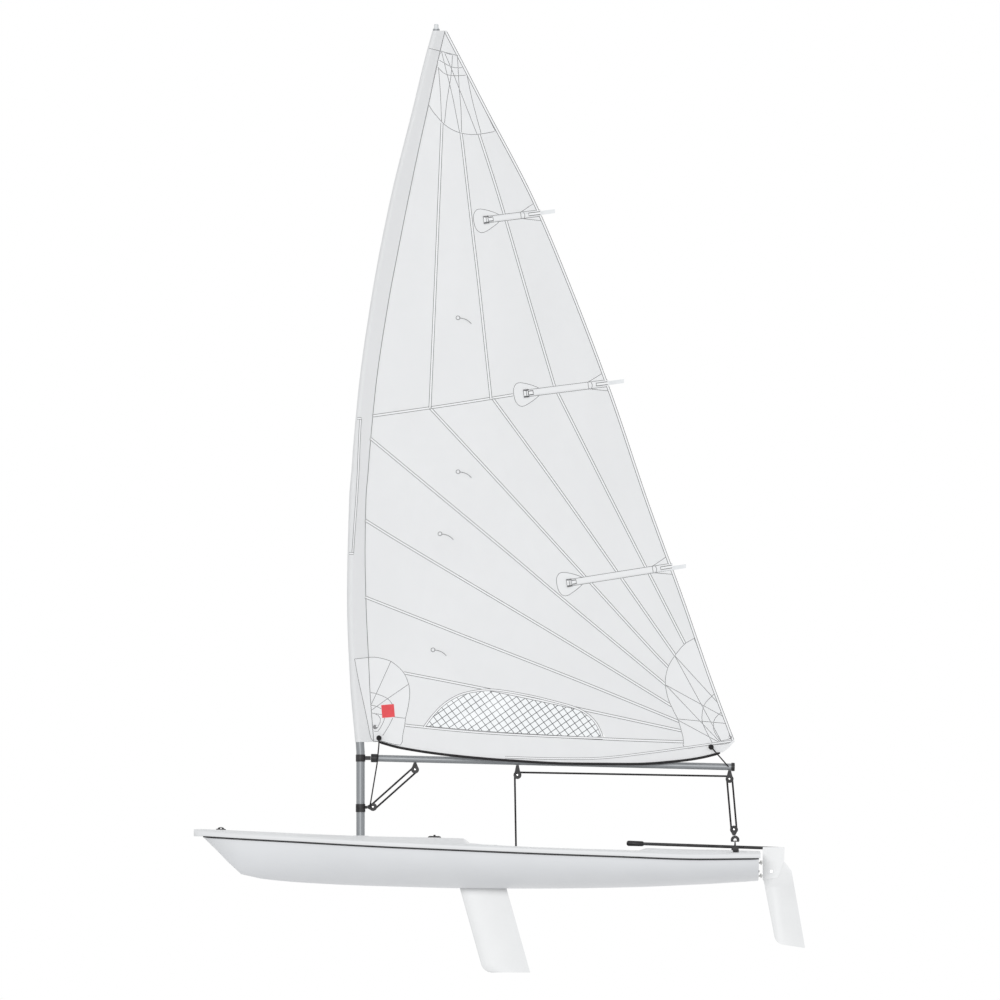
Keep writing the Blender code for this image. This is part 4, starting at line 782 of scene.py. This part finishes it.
def sheet_cut(outline, cell):
    """A flat (x, z) outline cut small, and along the luff seam: its points, its triangles and its rim."""
    work = bmesh.new()
    work.faces.new([work.verts.new((x, 0, z)) for x, z in outline])
    low_x, high_x = min(p[0] for p in outline), max(p[0] for p in outline)
    low_z, high_z = min(p[1] for p in outline), max(p[1] for p in outline)
    cuts = []
    for low, high, normal in ((low_x, high_x, (1, 0, 0)), (low_z, high_z, (0, 0, 1))):
        count = int((high - low) / cell)
        for i in range(1, count + 1):
            at = low + (high - low) * i / (count + 1)
            cuts.append(((at, 0, at), normal))
    cuts.append(((seam_x(low_z), 0, low_z), (high_z - low_z, 0, seam_x(low_z) - seam_x(high_z))))
    for at, normal in cuts:
        geometry = work.verts[:] + work.edges[:] + work.faces[:]
        bmesh.ops.bisect_plane(work, geom=geometry, plane_co=at, plane_no=normal)
    bmesh.ops.triangulate(work, faces=work.faces)
    work.verts.index_update()
    flat = [(v.co.x, v.co.z) for v in work.verts]
    triangles = [tuple(v.index for v in face.verts) for face in work.faces]
    rim = [(e.verts[0].index, e.verts[1].index) for e in work.edges if len(e.link_faces) == 1]
    work.free()
    return flat, triangles, rim


def patch(name, outline, material, lift=PATCH_LIFT, smooth_outline=False, sides=(-1, 1), depth=0.0004):
    """Cloth cut to an (x, z) outline, on both faces of the sail and folded at the luff seam."""
    if smooth_outline:
        outline = [(p.x, p.z) for p in flat_curve(list(outline) + [outline[0]], 0.015)][:-1]
    flat, triangles, rim = sheet_cut(outline, 0.03)
    points, faces = [], []
    for side in sides:
        start, count = len(points), len(flat)
        points += [cloth_face(x, z, side, lift) for x, z in flat]
        points += [cloth_face(x, z, side, -depth) for x, z in flat]
        for triangle in triangles:
            faces.append(tuple(start + i for i in triangle))
            faces.append(tuple(start + count + i for i in triangle[::-1]))
        faces += [(start + a, start + b, start + count + b, start + count + a) for a, b in rim]
    uvs = [(points[i].x, points[i].z) for face in faces for i in face]
    obj = solid(name, points, faces, material, "rig", uvs, smooth=False)
    turn_outward(obj.data)
    soften(obj.data)
    return obj


def leech_point(z, inset=0.0):
    return (leech_x(max(z, RIG_ROWS[0][0])) - inset, z)


WINDOW = pixels((
    (424, 727.5), (431, 718), (441, 707), (452, 699), (463, 694), (477, 691), (490, 690), (505, 691.5),
    (530, 696), (553, 701.5), (574, 707.5), (586, 713.5), (595, 722), (600, 731), (602.5, 738.5),
    (560, 737), (500, 734), (460, 731), (424, 727.5),
))


def make_panels():
    """Seams between the panels, as the drawing's double lines show them."""
    seams = (
        ("seam_head_front", (442, 123), (436, 270), (430, 408)),
        ("seam_head_middle", (461, 133), (463.2, 150), (472.6, 232), (479.4, 290), (491, 399)),
        ("seam_head_aft", (479, 134), (500, 200), (529, 300), (555, 388)),
        ("seam_level", (372, 416), (430, 408), (476, 401), (513, 395)),
        ("seam_radial_a", (365, 597), (474, 640), (576.5, 680), (680, 722)),
        ("seam_radial_b", (365, 520), (413.5, 550), (564, 640), (675, 708)),
        ("seam_radial_c", (370, 438), (504.5, 550), (560, 597), (666, 685)),
        ("seam_radial_d", (430, 408), (515, 500), (642.5, 640), (668, 667)),
        ("seam_radial_e", (493, 399), (566.5, 500), (664.5, 640), (675, 655)),
        ("seam_radial_f", (555, 388), (611.5, 500), (683, 640), (685, 643)),
        ("seam_radial_g", (404, 673), (500, 692), (682, 731)),
        ("seam_foot_panel", (404, 725), (422, 727), (500, 733.5), (605, 739), (685, 742)),
    )
    join("panel_seams", [ribbon(name, pixels(route), SEAM_WIDTH, "seam") for name, *route in seams])


def make_edges():
    """Luff seam, head band, leech tape, foot hem and the black foot line."""
    heights = [blend(TACK_Z + 0.002, HEAD_Z - 0.004, i / 40) for i in range(41)]
    leech = [leech_point(blend(1.014, 6.288, i / 44), 0.0115) for i in range(45)]
    hem = ((505, 757.3), (550, 758.6), (600, 758.2), (650, 752.6), (690, 747), (731, 741.2))
    band = ((429.3, 48.3), (435, 49.6), (441, 51.0), (446, 52.3), (450, 53.4), (458, 55.3))
    join("sail_edge_tapes", [
        ribbon("luff_seam", [(seam_x(z) - 0.002, z) for z in heights], 0.008, "stitch", 0.0030),
        ribbon("leech_tape", leech, 0.0215, "seam", TAPE_LIFT),
        ribbon("foot_hem", pixels(hem), 0.0165, "seam", TAPE_LIFT),
        ribbon("head_band", pixels(band), STITCH_WIDTH, "stitch", 0.0034, step=0.006),
    ])
    foot = []
    for i in range(61):
        x = blend(-0.735, 1.803, i / 60)
        z = curve_value(FOOT_CURVE, x)
        foot.append((x, sail_y(x, z), z + 0.001))
    tube("foot_cord", respaced(foot, 0.02), FOOT_CORD_RADIUS, "black_rope", "rig", 12)


def arc_patch(name, outline, lines, rings):
    """A corner patch with a row of stitches round it, and its radial and ring rows."""
    patch(name, pixels(outline), "patch")
    join(name + "_stitching", [
        ribbon(f"{name}_row_{i}", pixels(route), STITCH_WIDTH, "stitch", STITCH_LIFT)
        for i, route in enumerate([outline + outline[:1]] + lines + rings)
    ])


def make_corners():
    arc_patch(
        "head_patch",
        [(428.6, 104.4), (432.6, 111), (438, 117.5), (443, 123), (451, 129), (461, 133), (470, 134.3),
         (478, 134.2), (487, 132.8), (493, 131.6), (495.4, 131.1), (494.3, 128.8), (484, 108), (470, 80),
         (459, 57), (449, 54), (440.5, 52), (437, 66.5), (432.8, 85)],
        [[(442, 53), (445.2, 66.5), (452.2, 95), (459.5, 132)],
         [(445, 53.5), (452, 70), (462.5, 97), (477, 134)],
         [(452.5, 55), (451, 75), (447, 100), (444.5, 123)],
         [(457.5, 56), (459, 85), (461, 110), (461.5, 132)],
         [(438.5, 68), (440.5, 95), (441.5, 122)], [(467, 75), (473, 103), (481, 133)]],
        [[(439.5, 60), (447, 64.5), (454, 67.4), (462, 67.5)],
         [(438, 67), (443, 72.5), (449, 75), (456, 75.5), (465.5, 75)]],
    )
    arc_patch(
        "tack_patch",
        [(354.6, 659.1), (367.5, 657.6), (374.4, 657.2), (382.8, 658.7), (390.9, 661.4), (398.1, 666.8),
         (403.5, 672.5), (406.6, 678.3), (408.5, 684), (409.6, 689), (409.6, 696.6), (408.1, 707.3),
         (405.6, 718), (404.7, 725.7), (402.7, 735.6), (401.2, 744.8), (391, 743.5), (381, 741), (372, 740.5),
         (367.5, 721.9), (363, 700.4), (358.4, 679.8)],
        [[(371.0, 705.0), (376.7, 692.8), (390.9, 661.4)], [(371.3, 710.3), (387.4, 698.9), (408.5, 684.4)],
         [(371.4, 713.0), (381.3, 714.6), (393.6, 716.9), (405.6, 718.4)]],
        [[(370.0, 692.5), (376.7, 693.9), (387.4, 698.5), (392.8, 705)],
         [(392.8, 718), (389, 725.7), (382.8, 735.6)],
         [(370.8, 705.1), (376.7, 706.4), (381.3, 708.9)],
         [(384.8, 718), (382.8, 723.4), (377.9, 731.4), (374.4, 731.4)],
         [(371.5, 713.2), (377.5, 714.6), (380.6, 719.2), (379.4, 724.2), (376.7, 728.8)]],
    )
    arc_patch(
        "clew_patch",
        [(694.2, 638.4), (684.4, 644.3), (674.7, 655.8), (668.2, 666.6), (665.4, 678.5), (665.6, 687.2),
         (668.2, 699.1), (673.6, 711.1), (677.9, 719.7), (681.2, 730.6), (683.4, 739.3), (684.9, 748.2),
         (705, 745.2), (732, 741), (724, 717), (712.5, 685), (703, 661)],
        [[(674.7, 655.8), (717.5, 702.5)], [(674.7, 655.8), (721.3, 741.4)], [(665.6, 685), (722.4, 716)],
         [(665.6, 685), (719.8, 742)], [(677.9, 719.1), (725.6, 723.4)], [(677.9, 720.2), (719.8, 742.7)]],
        [[(714.3, 693.9), (705, 703.5), (702.2, 713.2), (702.9, 724), (712.6, 743.6)],
         [(721, 712.4), (714.8, 718.7), (713.3, 726.2), (714.8, 732.8), (721.3, 742)],
         [(721.3, 741), (729, 739.2)], [(728.3, 729.5), (729.8, 738)]],
    )
    for name, spot, size in (("tack_eye", (375.2, 727), 0.013), ("clew_eye", (730.2, 737.5), 0.010)):
        x, z = px(*spot)
        eye = ((-0.0045, size * 0.45), (-0.0045, size), (-0.003, size * 1.25), (0.003, size * 1.25),
               (0.0045, size), (0.0045, size * 0.45))
        forward = cloth_face(x + 0.012, z, -1) - cloth_face(x - 0.012, z, -1)
        upward = cloth_face(x, z + 0.012, -1) - cloth_face(x, z - 0.012, -1)
        middle = cloth_face(x, z, -1, -CLOTH / 2)
        lathe(name, eye, middle, forward.cross(upward), "dull_metal", "rig")


def pocket_skin(name, spot, half, length):
    """The raised strip of cloth over a batten, from its inner end to the leech."""
    rows, strips = 25, 9
    points = []
    for i in range(rows):
        forward = blend(-1.0, length + 0.6, i / (rows - 1))
        swell = min(1.0, (forward + 1.5) / 3.0)
        (x0, z0), (x1, z1) = spot(forward, -half), spot(forward, half)
        front, back = [], []
        for k in range(strips):
            share = k / (strips - 1)
            x, z = blend(x0, x1, share), blend(z0, z1, share)
            height = POCKET_HEIGHT * swell * min(1.0, math.sin(math.pi * share) * 1.9)
            face = sail_y(min(x, leech_x(z) - 0.001), z) - CLOTH / 2 - 0.0006
            front.append((x, face - height, z))
            back.append((x, face + 0.0004, z))
        points += front + back[-2:0:-1]
    return solid(name, points, loft_faces(rows, len(points) // rows), "pocket", "rig")


def make_batten_cover(name, inner, tip, half):
    """One batten's pocket with its patches, and its rows of stitches and tapes, which are given back.

    Places on it are in pixels: forward along the batten from its inner end, and to the side of it."""
    start, end = Vector(inner), Vector(tip)
    along = (end - start).normalized()
    up = Vector((along.y, -along.x))

    def spot(forward, side):
        return px(*(start + along * forward + up * side))

    def spots(*places):
        return [spot(*each) for each in places]

    length = next(t / 2 for t in range(400) if spot(t / 2, 0)[0] > leech_x(spot(t / 2, 0)[1]))
    tear = spots((-10.6, -0.2), (-10.1, 5.8), (-7.1, 10.4), (-2.6, 11.3), (6.4, 8.4), (15.4, 3.2),
                 (15.4, -2.6), (7.4, -8.2), (-1.6, -12.2), (-6.6, -11.2), (-9.6, -6.7))
    patch(f"batten_patch_{name}", tear, "patch", smooth_outline=True)
    level = spot(length, 0)[1]
    wing = spots((length - 20, -half), (length - 20, half))
    wing += [leech_point(level + rise, 0.001) for rise in (0.080, 0.0, -0.060)]
    patch(f"batten_wing_{name}", wing, "patch")
    pocket_skin(f"batten_pocket_{name}", spot, half, length)
    edge, tall = half + 0.2, half + 0.9
    flat = (
        ("tear_edge", tear + tear[:1]),
        ("wing_top", wing[1:3]),
        ("wing_low", [wing[0], wing[4]]),
        ("edge_low", spots((-1, -edge), (length - 0.5, -edge))),
        ("edge_top", spots((-1, edge), (length - 0.5, edge))),
    )
    raised = (
        ("tab", tall * 2 * SCALE, (-0.6, 0), (4.6, 0)),
        ("tab_front", STITCH_WIDTH, (-0.6, -tall), (-0.6, tall)),
        ("tab_back", STITCH_WIDTH, (2.2, -tall), (2.2, tall)),
        ("buckle", 0.036, (4.0, 0), (9.0, 0)),
        ("buckle_front", STITCH_WIDTH, (4.0, -2.3), (4.0, 2.3)),
        ("buckle_back", STITCH_WIDTH, (9.0, -2.3), (9.0, 2.3)),
        ("strap", 0.026, (length - 12, 0), (length - 0.4, 0)),
        ("strap_end", STITCH_WIDTH, (length - 12, -1.7), (length - 12, 1.7)),
        ("pocket_bar", STITCH_WIDTH, (length - 20, -half), (length - 20, half)),
        ("pocket_bow", STITCH_WIDTH, (length - 17, -half), (length - 16, 0), (length - 17, half)),
    )
    made = [ribbon(f"{key}_{name}", route, STITCH_WIDTH, "stitch", STITCH_LIFT, step=0.012)
            for key, route in flat]
    for key, width, *places in raised:
        material = "stitch" if width == STITCH_WIDTH else "seam"
        made.append(ribbon(f"{key}_{name}", spots(*places), width, material, POCKET_HEIGHT + 0.0022,
                           step=0.01, sides=(-1,), depth=-POCKET_HEIGHT))
    return made


def make_battens_and_pockets():
    """Pockets sewn over the battens, the shaped patches at their inner ends and the webbing at the leech."""
    rows = (
        ("top", (484.2, 220.0), (555, 211), 3.1),
        ("middle", (524.3, 393.8), (624, 381), 3.3),
        ("low", (567.3, 583.3), (686, 564.3), 3.2),
    )
    join("batten_stitching", [piece for row in rows for piece in make_batten_cover(*row)])


def make_window():
    """The film set in the cloth, and the tape round it in two lengths that cross at its corners."""
    patch("window_panel", WINDOW[:-1], "window", lift=-0.0004, sides=(-1,), depth=0.0)
    foot_start = len(WINDOW) - 5
    ribbon("window_tape_top", WINDOW[:foot_start + 1], TAPE_WIDTH, "seam", 0.0014, step=0.02)
    ribbon("window_tape_foot", WINDOW[foot_start:], TAPE_WIDTH, "seam", 0.0015, step=0.02)


def make_marks():
    """The luff's sleeve patch and the red sticker."""
    strip = (
        ("luff_patch_back", SEAM_LIFT, (360.7, 418.0), (359.9, 430), (359.0, 450), (358.2, 472), (357.2, 490),
         (356.2, 505), (354.6, 527), (352.7, 554)),
        ("luff_patch_top", SEAM_LIFT * 2, (357.4, 418.5), (361.5, 418.5)),
        ("luff_patch_foot", SEAM_LIFT * 2, (349.2, 553.6), (353.6, 553.6)),
    )
    join("luff_patch_edge", [ribbon(name, pixels(route), LUFF_PATCH_EDGE, "seam", lift, step=0.004)
                             for name, lift, *route in strip])
    sticker = ((381.2, 705.2), (393.8, 704.1), (394.9, 716.9), (382.3, 718))
    patch("red_sticker", pixels(sticker), "red_vinyl", STICKER_LIFT, sides=(-1,))


def make_telltales():
    """Four tell-tales: a disc of cloth, a ring of yarn sewn round it, and its loose end."""
    places = ((458, 318), (458, 472), (440, 534), (433, 650))
    loose_end = ((1.5, 0.2), (5, 0.7), (9.5, 2.5), (13.5, 6))
    for i, (across, down) in enumerate(places):
        x, z = px(across, down)
        ring = [cloth_face(x + u, z + v, -1, 0.0012) for u, v in circle(20, 0.0145)]
        tube(f"telltale_ring_{i}", ring, 0.0019, "grey_yarn", "rig", 8, closed=True)
        disc = [(x + u, z + v) for u, v in circle(20, 0.014)]
        patch(f"telltale_disc_{i}", disc, "patch", 0.0006, sides=(-1,))
        yarn = pixels([(across + u, down + v) for u, v in loose_end])
        route = [cloth_face(u, v, -1, 0.0022 + 0.0012 * k) for k, (u, v) in enumerate(yarn)]
        tube(f"telltale_yarn_{i}", through(route, 0.006), 0.0017, "grey_yarn", "rig", 8)


# Ropes and fittings

VANG_LOWER, VANG_UPPER = (-0.782, 0.514), (-0.469, 0.793)
MID_BLOCK, AFT_BLOCK, SHEET_BLOCK = (0.294, 0.752), (1.874, 0.723), (1.907, 0.346)
RATCHET = (0.268, 0.163)
PITCH = 0.020
RATCHET_PITCH = 0.016


def arc(centre, radius, start, end, steps=14):
    """Points on an arc in the boat's middle plane."""
    return [
        Vector((centre[0] + radius * math.cos(a), 0, centre[1] + radius * math.sin(a)))
        for a in (blend(start, end, i / steps) for i in range(steps + 1))
    ]


def rope(name, path, body="rig", radius=ROPE_RADIUS, sides=14, closed=False):
    return tube(name, path, radius, "black_rope", body, sides, closed)


def make_vang():
    """The vang's rope, one loop round its two blocks."""
    quarter = math.pi / 2
    run = Vector(VANG_UPPER) - Vector(VANG_LOWER)
    angle = math.atan2(run.y, run.x)
    loop = arc(VANG_LOWER, PITCH, angle + quarter, angle + 3 * quarter)
    loop += arc(VANG_UPPER, PITCH, angle - quarter, angle + quarter)
    piece = rope("vang_tackle", respaced(loop + loop[:1], 0.008)[:-1], closed=True)
    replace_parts(piece, "vang_line")


def make_sheet_on_boom():
    """The mainsheet from the boom's mid block to its aft block."""
    top = math.pi / 2 + math.atan2(AFT_BLOCK[1] - MID_BLOCK[1], AFT_BLOCK[0] - MID_BLOCK[0])
    over = arc(MID_BLOCK, PITCH, math.pi, top) + arc(AFT_BLOCK, PITCH, top, 0.0)
    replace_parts(rope("sheet_along_boom", respaced(over, 0.009)), "boom_sheet_run")


def make_corner_lines():
    """Cunningham and outhaul, each with the knot that holds it in its eye."""
    boom_radius, fitting_wall, gap = 0.0254, 0.006, 0.0003
    side = -(boom_radius + fitting_wall + LINE_RADIUS + gap)
    tack = [(-0.738, side, 1.028), (-0.738, side, 0.976), (-0.752, side, 0.834), (-0.800, side, 0.545),
            (-0.806, side, 0.515)]
    clew = Vector((1.736, sail_y(1.736, 0.961) - CLOTH / 2 - LINE_RADIUS - 0.001, 0.961))
    flank = Vector((1.866, -0.0310, 0.8132))
    lines = (("cunningham", "cunningham_line", tack), ("outhaul", "outhaul_line", [clew, flank]))
    for name, node, route in lines:
        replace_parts(rope(name, respaced(route, 0.010), radius=LINE_RADIUS), node)
    for name, spot in (("tack_knot", Vector(tack[0])), ("clew_knot", clew)):
        knot = []
        for i in range(40):
            a = 4 * math.pi * i / 39
            turn = Vector((0.0100 * math.cos(a), -0.007 + 0.005 * math.sin(a * 1.5), 0.0100 * math.sin(a)))
            knot.append(spot + turn)
        rope(name, knot, radius=KNOT_RADIUS, sides=10)


def make_sheet_falls():
    """The mainsheet where it crosses from the hull to the turning rig."""
    path = [Vector((AFT_BLOCK[0] - PITCH, 0, AFT_BLOCK[1] + 0.002))]
    path += arc(SHEET_BLOCK, PITCH, math.pi, 2 * math.pi, 16)
    path += [Vector((AFT_BLOCK[0] + PITCH, 0, AFT_BLOCK[1]))]
    falls = rope("sheet_falls_aft", respaced(path, 0.009), None)
    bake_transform(falls)
    down = [Vector((MID_BLOCK[0] - PITCH, 0, MID_BLOCK[1]))]
    down += arc(RATCHET, RATCHET_PITCH, 0.06, -math.pi * 1.02, 18)
    down += [Vector((RATCHET[0] - 0.020, 0.0, RATCHET[1] + 0.018)),
             Vector((RATCHET[0] - 0.032, -0.004, RATCHET[1] + 0.036))]
    fall = rope("sheet_fall_middle", respaced(down, 0.008), None)
    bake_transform(fall)


def make_traveller():
    """The traveller line, raised in the middle by its shackle, and the steel liners of its fairleads."""
    low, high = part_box("traveller_line")
    x, reach = (low.x + high.x) / 2, high.y - 0.001
    eye_z, apex = low.z + TRAVELLER_RADIUS, high.z - TRAVELLER_RADIUS
    line = respaced([(x, -reach, eye_z), (x, 0, apex), (x, reach, eye_z)], 0.010)
    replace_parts(rope("traveller_rope", line, "hull", TRAVELLER_RADIUS), "traveller_line")
    liner = ((0.0, 0.0045), (0.0, 0.0085), (0.0022, 0.0075), (0.0022, 0.0045))
    for name, side in (("port", -1), ("starboard", 1)):
        low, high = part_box(f"traveller_fairlead_{name}")
        middle = (low + high) / 2
        lathe(f"fairlead_liner_{name}", liner, (middle.x, middle.y - side * 0.0102, eye_z), (0, -side, 0),
              "steel", "hull", 20)


def make_block_pins():
    """Steel bolt heads through the blocks' cheeks, the pale dots of the drawing."""
    heads = (
        ("vang_low", VANG_LOWER, "rig"), ("vang_up", VANG_UPPER, "rig"), ("boom_mid", MID_BLOCK, "rig"),
        ("boom_aft", AFT_BLOCK, "rig"), ("sheet_low", SHEET_BLOCK, "hull"), ("ratchet", RATCHET, "hull"),
    )
    play, cheek = 0.0025, 0.005
    reach = ROPE_RADIUS + play + cheek
    head = ((-reach - 0.0032, 0.0045), (-reach - 0.0026, 0.0068), (-reach + 0.001, 0.0072),
            (reach - 0.001, 0.0072), (reach + 0.0026, 0.0068), (reach + 0.0032, 0.0045))
    for name, centre, body in heads:
        lathe(f"block_bolt_{name}", head, (centre[0], 0, centre[1]), (0, 1, 0), "steel", body, 24)


def sheer_corners():
    """The hull moulding's outer top corner at each of its sections, from bow to stern, on the port side."""
    hull = frame["nodes"]["hull"]
    sections = {}
    for vertex in hull.data.vertices:
        spot = hull.matrix_world @ vertex.co
        if spot.y < 0.0:
            sections.setdefault(round(spot.x, 3), set()).add((round(spot.y, 4), round(spot.z, 4)))
    return [Vector((x, *max(spots, key=lambda s: s[1] - s[0])))
            for x, spots in sorted(sections.items()) if len(spots) > 8]


def make_gunwale_beads_and_shade():
    """A dark bead at the joint between hull and deck, tucked under the gunwale's hook: partly a real joint
    strip, partly painted shade that stands for the shadow under the hook.
    """
    radius, inset, drop = 0.0068, 0.0040, 0.0100
    corners = sheer_corners()
    for name, side in (("port", 1), ("starboard", -1)):
        path = [Vector((c.x, (c.y - inset) * side, c.z - drop)) for c in corners]
        bead = through(path, 0.05)
        # painted shade: the black bead stands in for the shadow under the gunwale's hook
        tube(f"joint_and_shade_bead_{name}", bead, radius, "black_plastic", "hull", 10)


def toothed(name, centre, radius, height, material, body, teeth=12):
    """A cam: a low drum with upright teeth round it."""
    levels = ((0.0, 0.92), (0.15, 1.0), (0.85, 1.0), (1.0, 0.86))
    points = [
        Vector(centre) + Vector((x * (1.0 if k % 2 else 0.86), y * (1.0 if k % 2 else 0.86), level * height))
        for level, size in levels for k, (x, y) in enumerate(circle(teeth * 2, radius * size))
    ]
    return solid(name, points, loft_faces(len(levels), teeth * 2), material, body, smooth=False)


def make_cam_cleats():
    """Two pairs of toothed cams on the foredeck's cleat plate."""
    low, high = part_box("deck_cleat_plate")
    middle = (low + high) / 2
    top = high.z - 0.0008
    pin = ((0.0, 0.0030), (0.0095, 0.0030), (0.0104, 0.0020))
    for pair in (-1, 1):
        for jaw in (-1, 1):
            spot = Vector((middle.x, middle.y + pair * 0.019 + jaw * 0.0085, top))
            toothed(f"cam_{pair}_{jaw}", spot, 0.0082, 0.0085, "black_plastic", "hull")
            lathe(f"cam_pin_{pair}_{jaw}", pin, spot, (0, 0, 1), "steel", "hull", 12)


def make_screws():
    """Pan-head screws in the fittings that are screwed down."""
    spots = []
    for node in ("gudgeon_lower", "gudgeon_upper"):
        low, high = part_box(node)
        z = (low.z + high.z) / 2
        spots += [((low.x + 0.0030, y, z), (1, 0, 0)) for y in (-0.032, 0.032)]
    low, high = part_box("deck_cleat_plate")
    spots += [((x, y, high.z - 0.0022), (0, 0, 1))
              for x in (low.x + 0.017, high.x - 0.017) for y in (low.y + 0.010, high.y - 0.010)]
    profile = ((-0.001, 0.0052), (0.0006, 0.0052), (0.0016, 0.0040), (0.0019, 0.0015))
    for i, (place, direction) in enumerate(spots):
        lathe(f"plate_screw_{i}", profile, place, direction, "steel", "hull", 18)


# Stage


def make_floor():
    """Ground at water level. The camera sees it as a thin pale film, which keeps the object's shadow."""
    reach = 40.0
    corners = [(x * reach, y * reach, 0) for x, y in ((-1, -1), (1, -1), (1, 1), (-1, 1))]
    mesh = bpy.data.meshes.new("water_level_floor")
    mesh.from_pydata(corners, [], [(0, 1, 2, 3)])
    floor = placed("water_level_floor", mesh)
    made = bpy.data.materials.new("floor_surface")
    made.use_nodes = True
    tree = made.node_tree
    tree.nodes.remove(tree.nodes["Principled BSDF"])
    pale = add(tree, "BsdfDiffuse", {"Color": (0.96, 0.96, 0.96)}).outputs[0]
    clear = add(tree, "BsdfTransparent").outputs[0]
    from_camera = add(tree, "LightPath").outputs["Is Camera Ray"]
    show(tree, mixed(tree, from_camera, clear, mixed(tree, 0.42, clear, pale)))
    mesh.materials.append(made)


def make_world():
    """White where the camera looks past the object, and a softer light on it."""
    world = bpy.data.worlds.new("studio")
    bpy.context.scene.world = world
    world.use_nodes = True
    tree = world.node_tree
    tree.nodes.clear()
    white = add(tree, "Background", {"Color": (1, 1, 1), "Strength": 1.0}).outputs[0]
    soft = add(tree, "Background", {"Color": (0.97, 0.985, 1.0), "Strength": 0.62}).outputs[0]
    path = add(tree, "LightPath").outputs
    seen = path["Is Camera Ray"]
    for kind in ("Is Glossy Ray", "Is Transmission Ray"):
        seen = add(tree, "Math", {0: seen, 1: path[kind]}, operation="MAXIMUM").outputs[0]
    add(tree, "OutputWorld", {"Surface": mixed(tree, seen, soft, white)})


def make_lamps():
    """Two soft suns: name, direction to the light, strength and width in degrees."""
    lamps = (
        ("key", (-0.12, -0.975, 0.18), 1.25, 14),
        ("back", (0.65, 0.70, 0.45), 0.90, 20),
    )
    for name, to_light, strength, angle in lamps:
        data = bpy.data.lights.new(name, "SUN")
        data.energy = strength
        data.angle = math.radians(angle)
        lamp = placed(name, data)
        lamp.rotation_euler = Vector(to_light).to_track_quat("Z", "Y").to_euler()
    bpy.context.scene.view_settings.view_transform = "Standard"


def make_camera():
    """Level with the waterline and far off, as flat as the drawing."""
    x, z = px(500, 500)
    reach = 1000 * SCALE * LENS / SENSOR
    data = bpy.data.cameras.new("side_view")
    data.lens = LENS
    data.sensor_width = SENSOR
    data.clip_start, data.clip_end = 1.0, reach * 2
    camera = placed("side_view", data)
    camera.location = (x, -reach, 0.0)
    aim = Vector((x, 0, z)) - camera.location
    camera.rotation_euler = aim.to_track_quat("-Z", "Y").to_euler()
    bpy.context.scene.camera = camera


make_camera()
make_floor()
make_world()
make_lamps()
finish_cad_nodes()
sail_piece = make_sail_cloth()
make_panels()
make_edges()
make_corners()
make_battens_and_pockets()
make_window()
make_marks()
make_telltales()
make_vang()
make_sheet_on_boom()
make_corner_lines()
make_sheet_falls()
make_traveller()
make_block_pins()
make_gunwale_beads_and_shade()
make_cam_cleats()
make_screws()
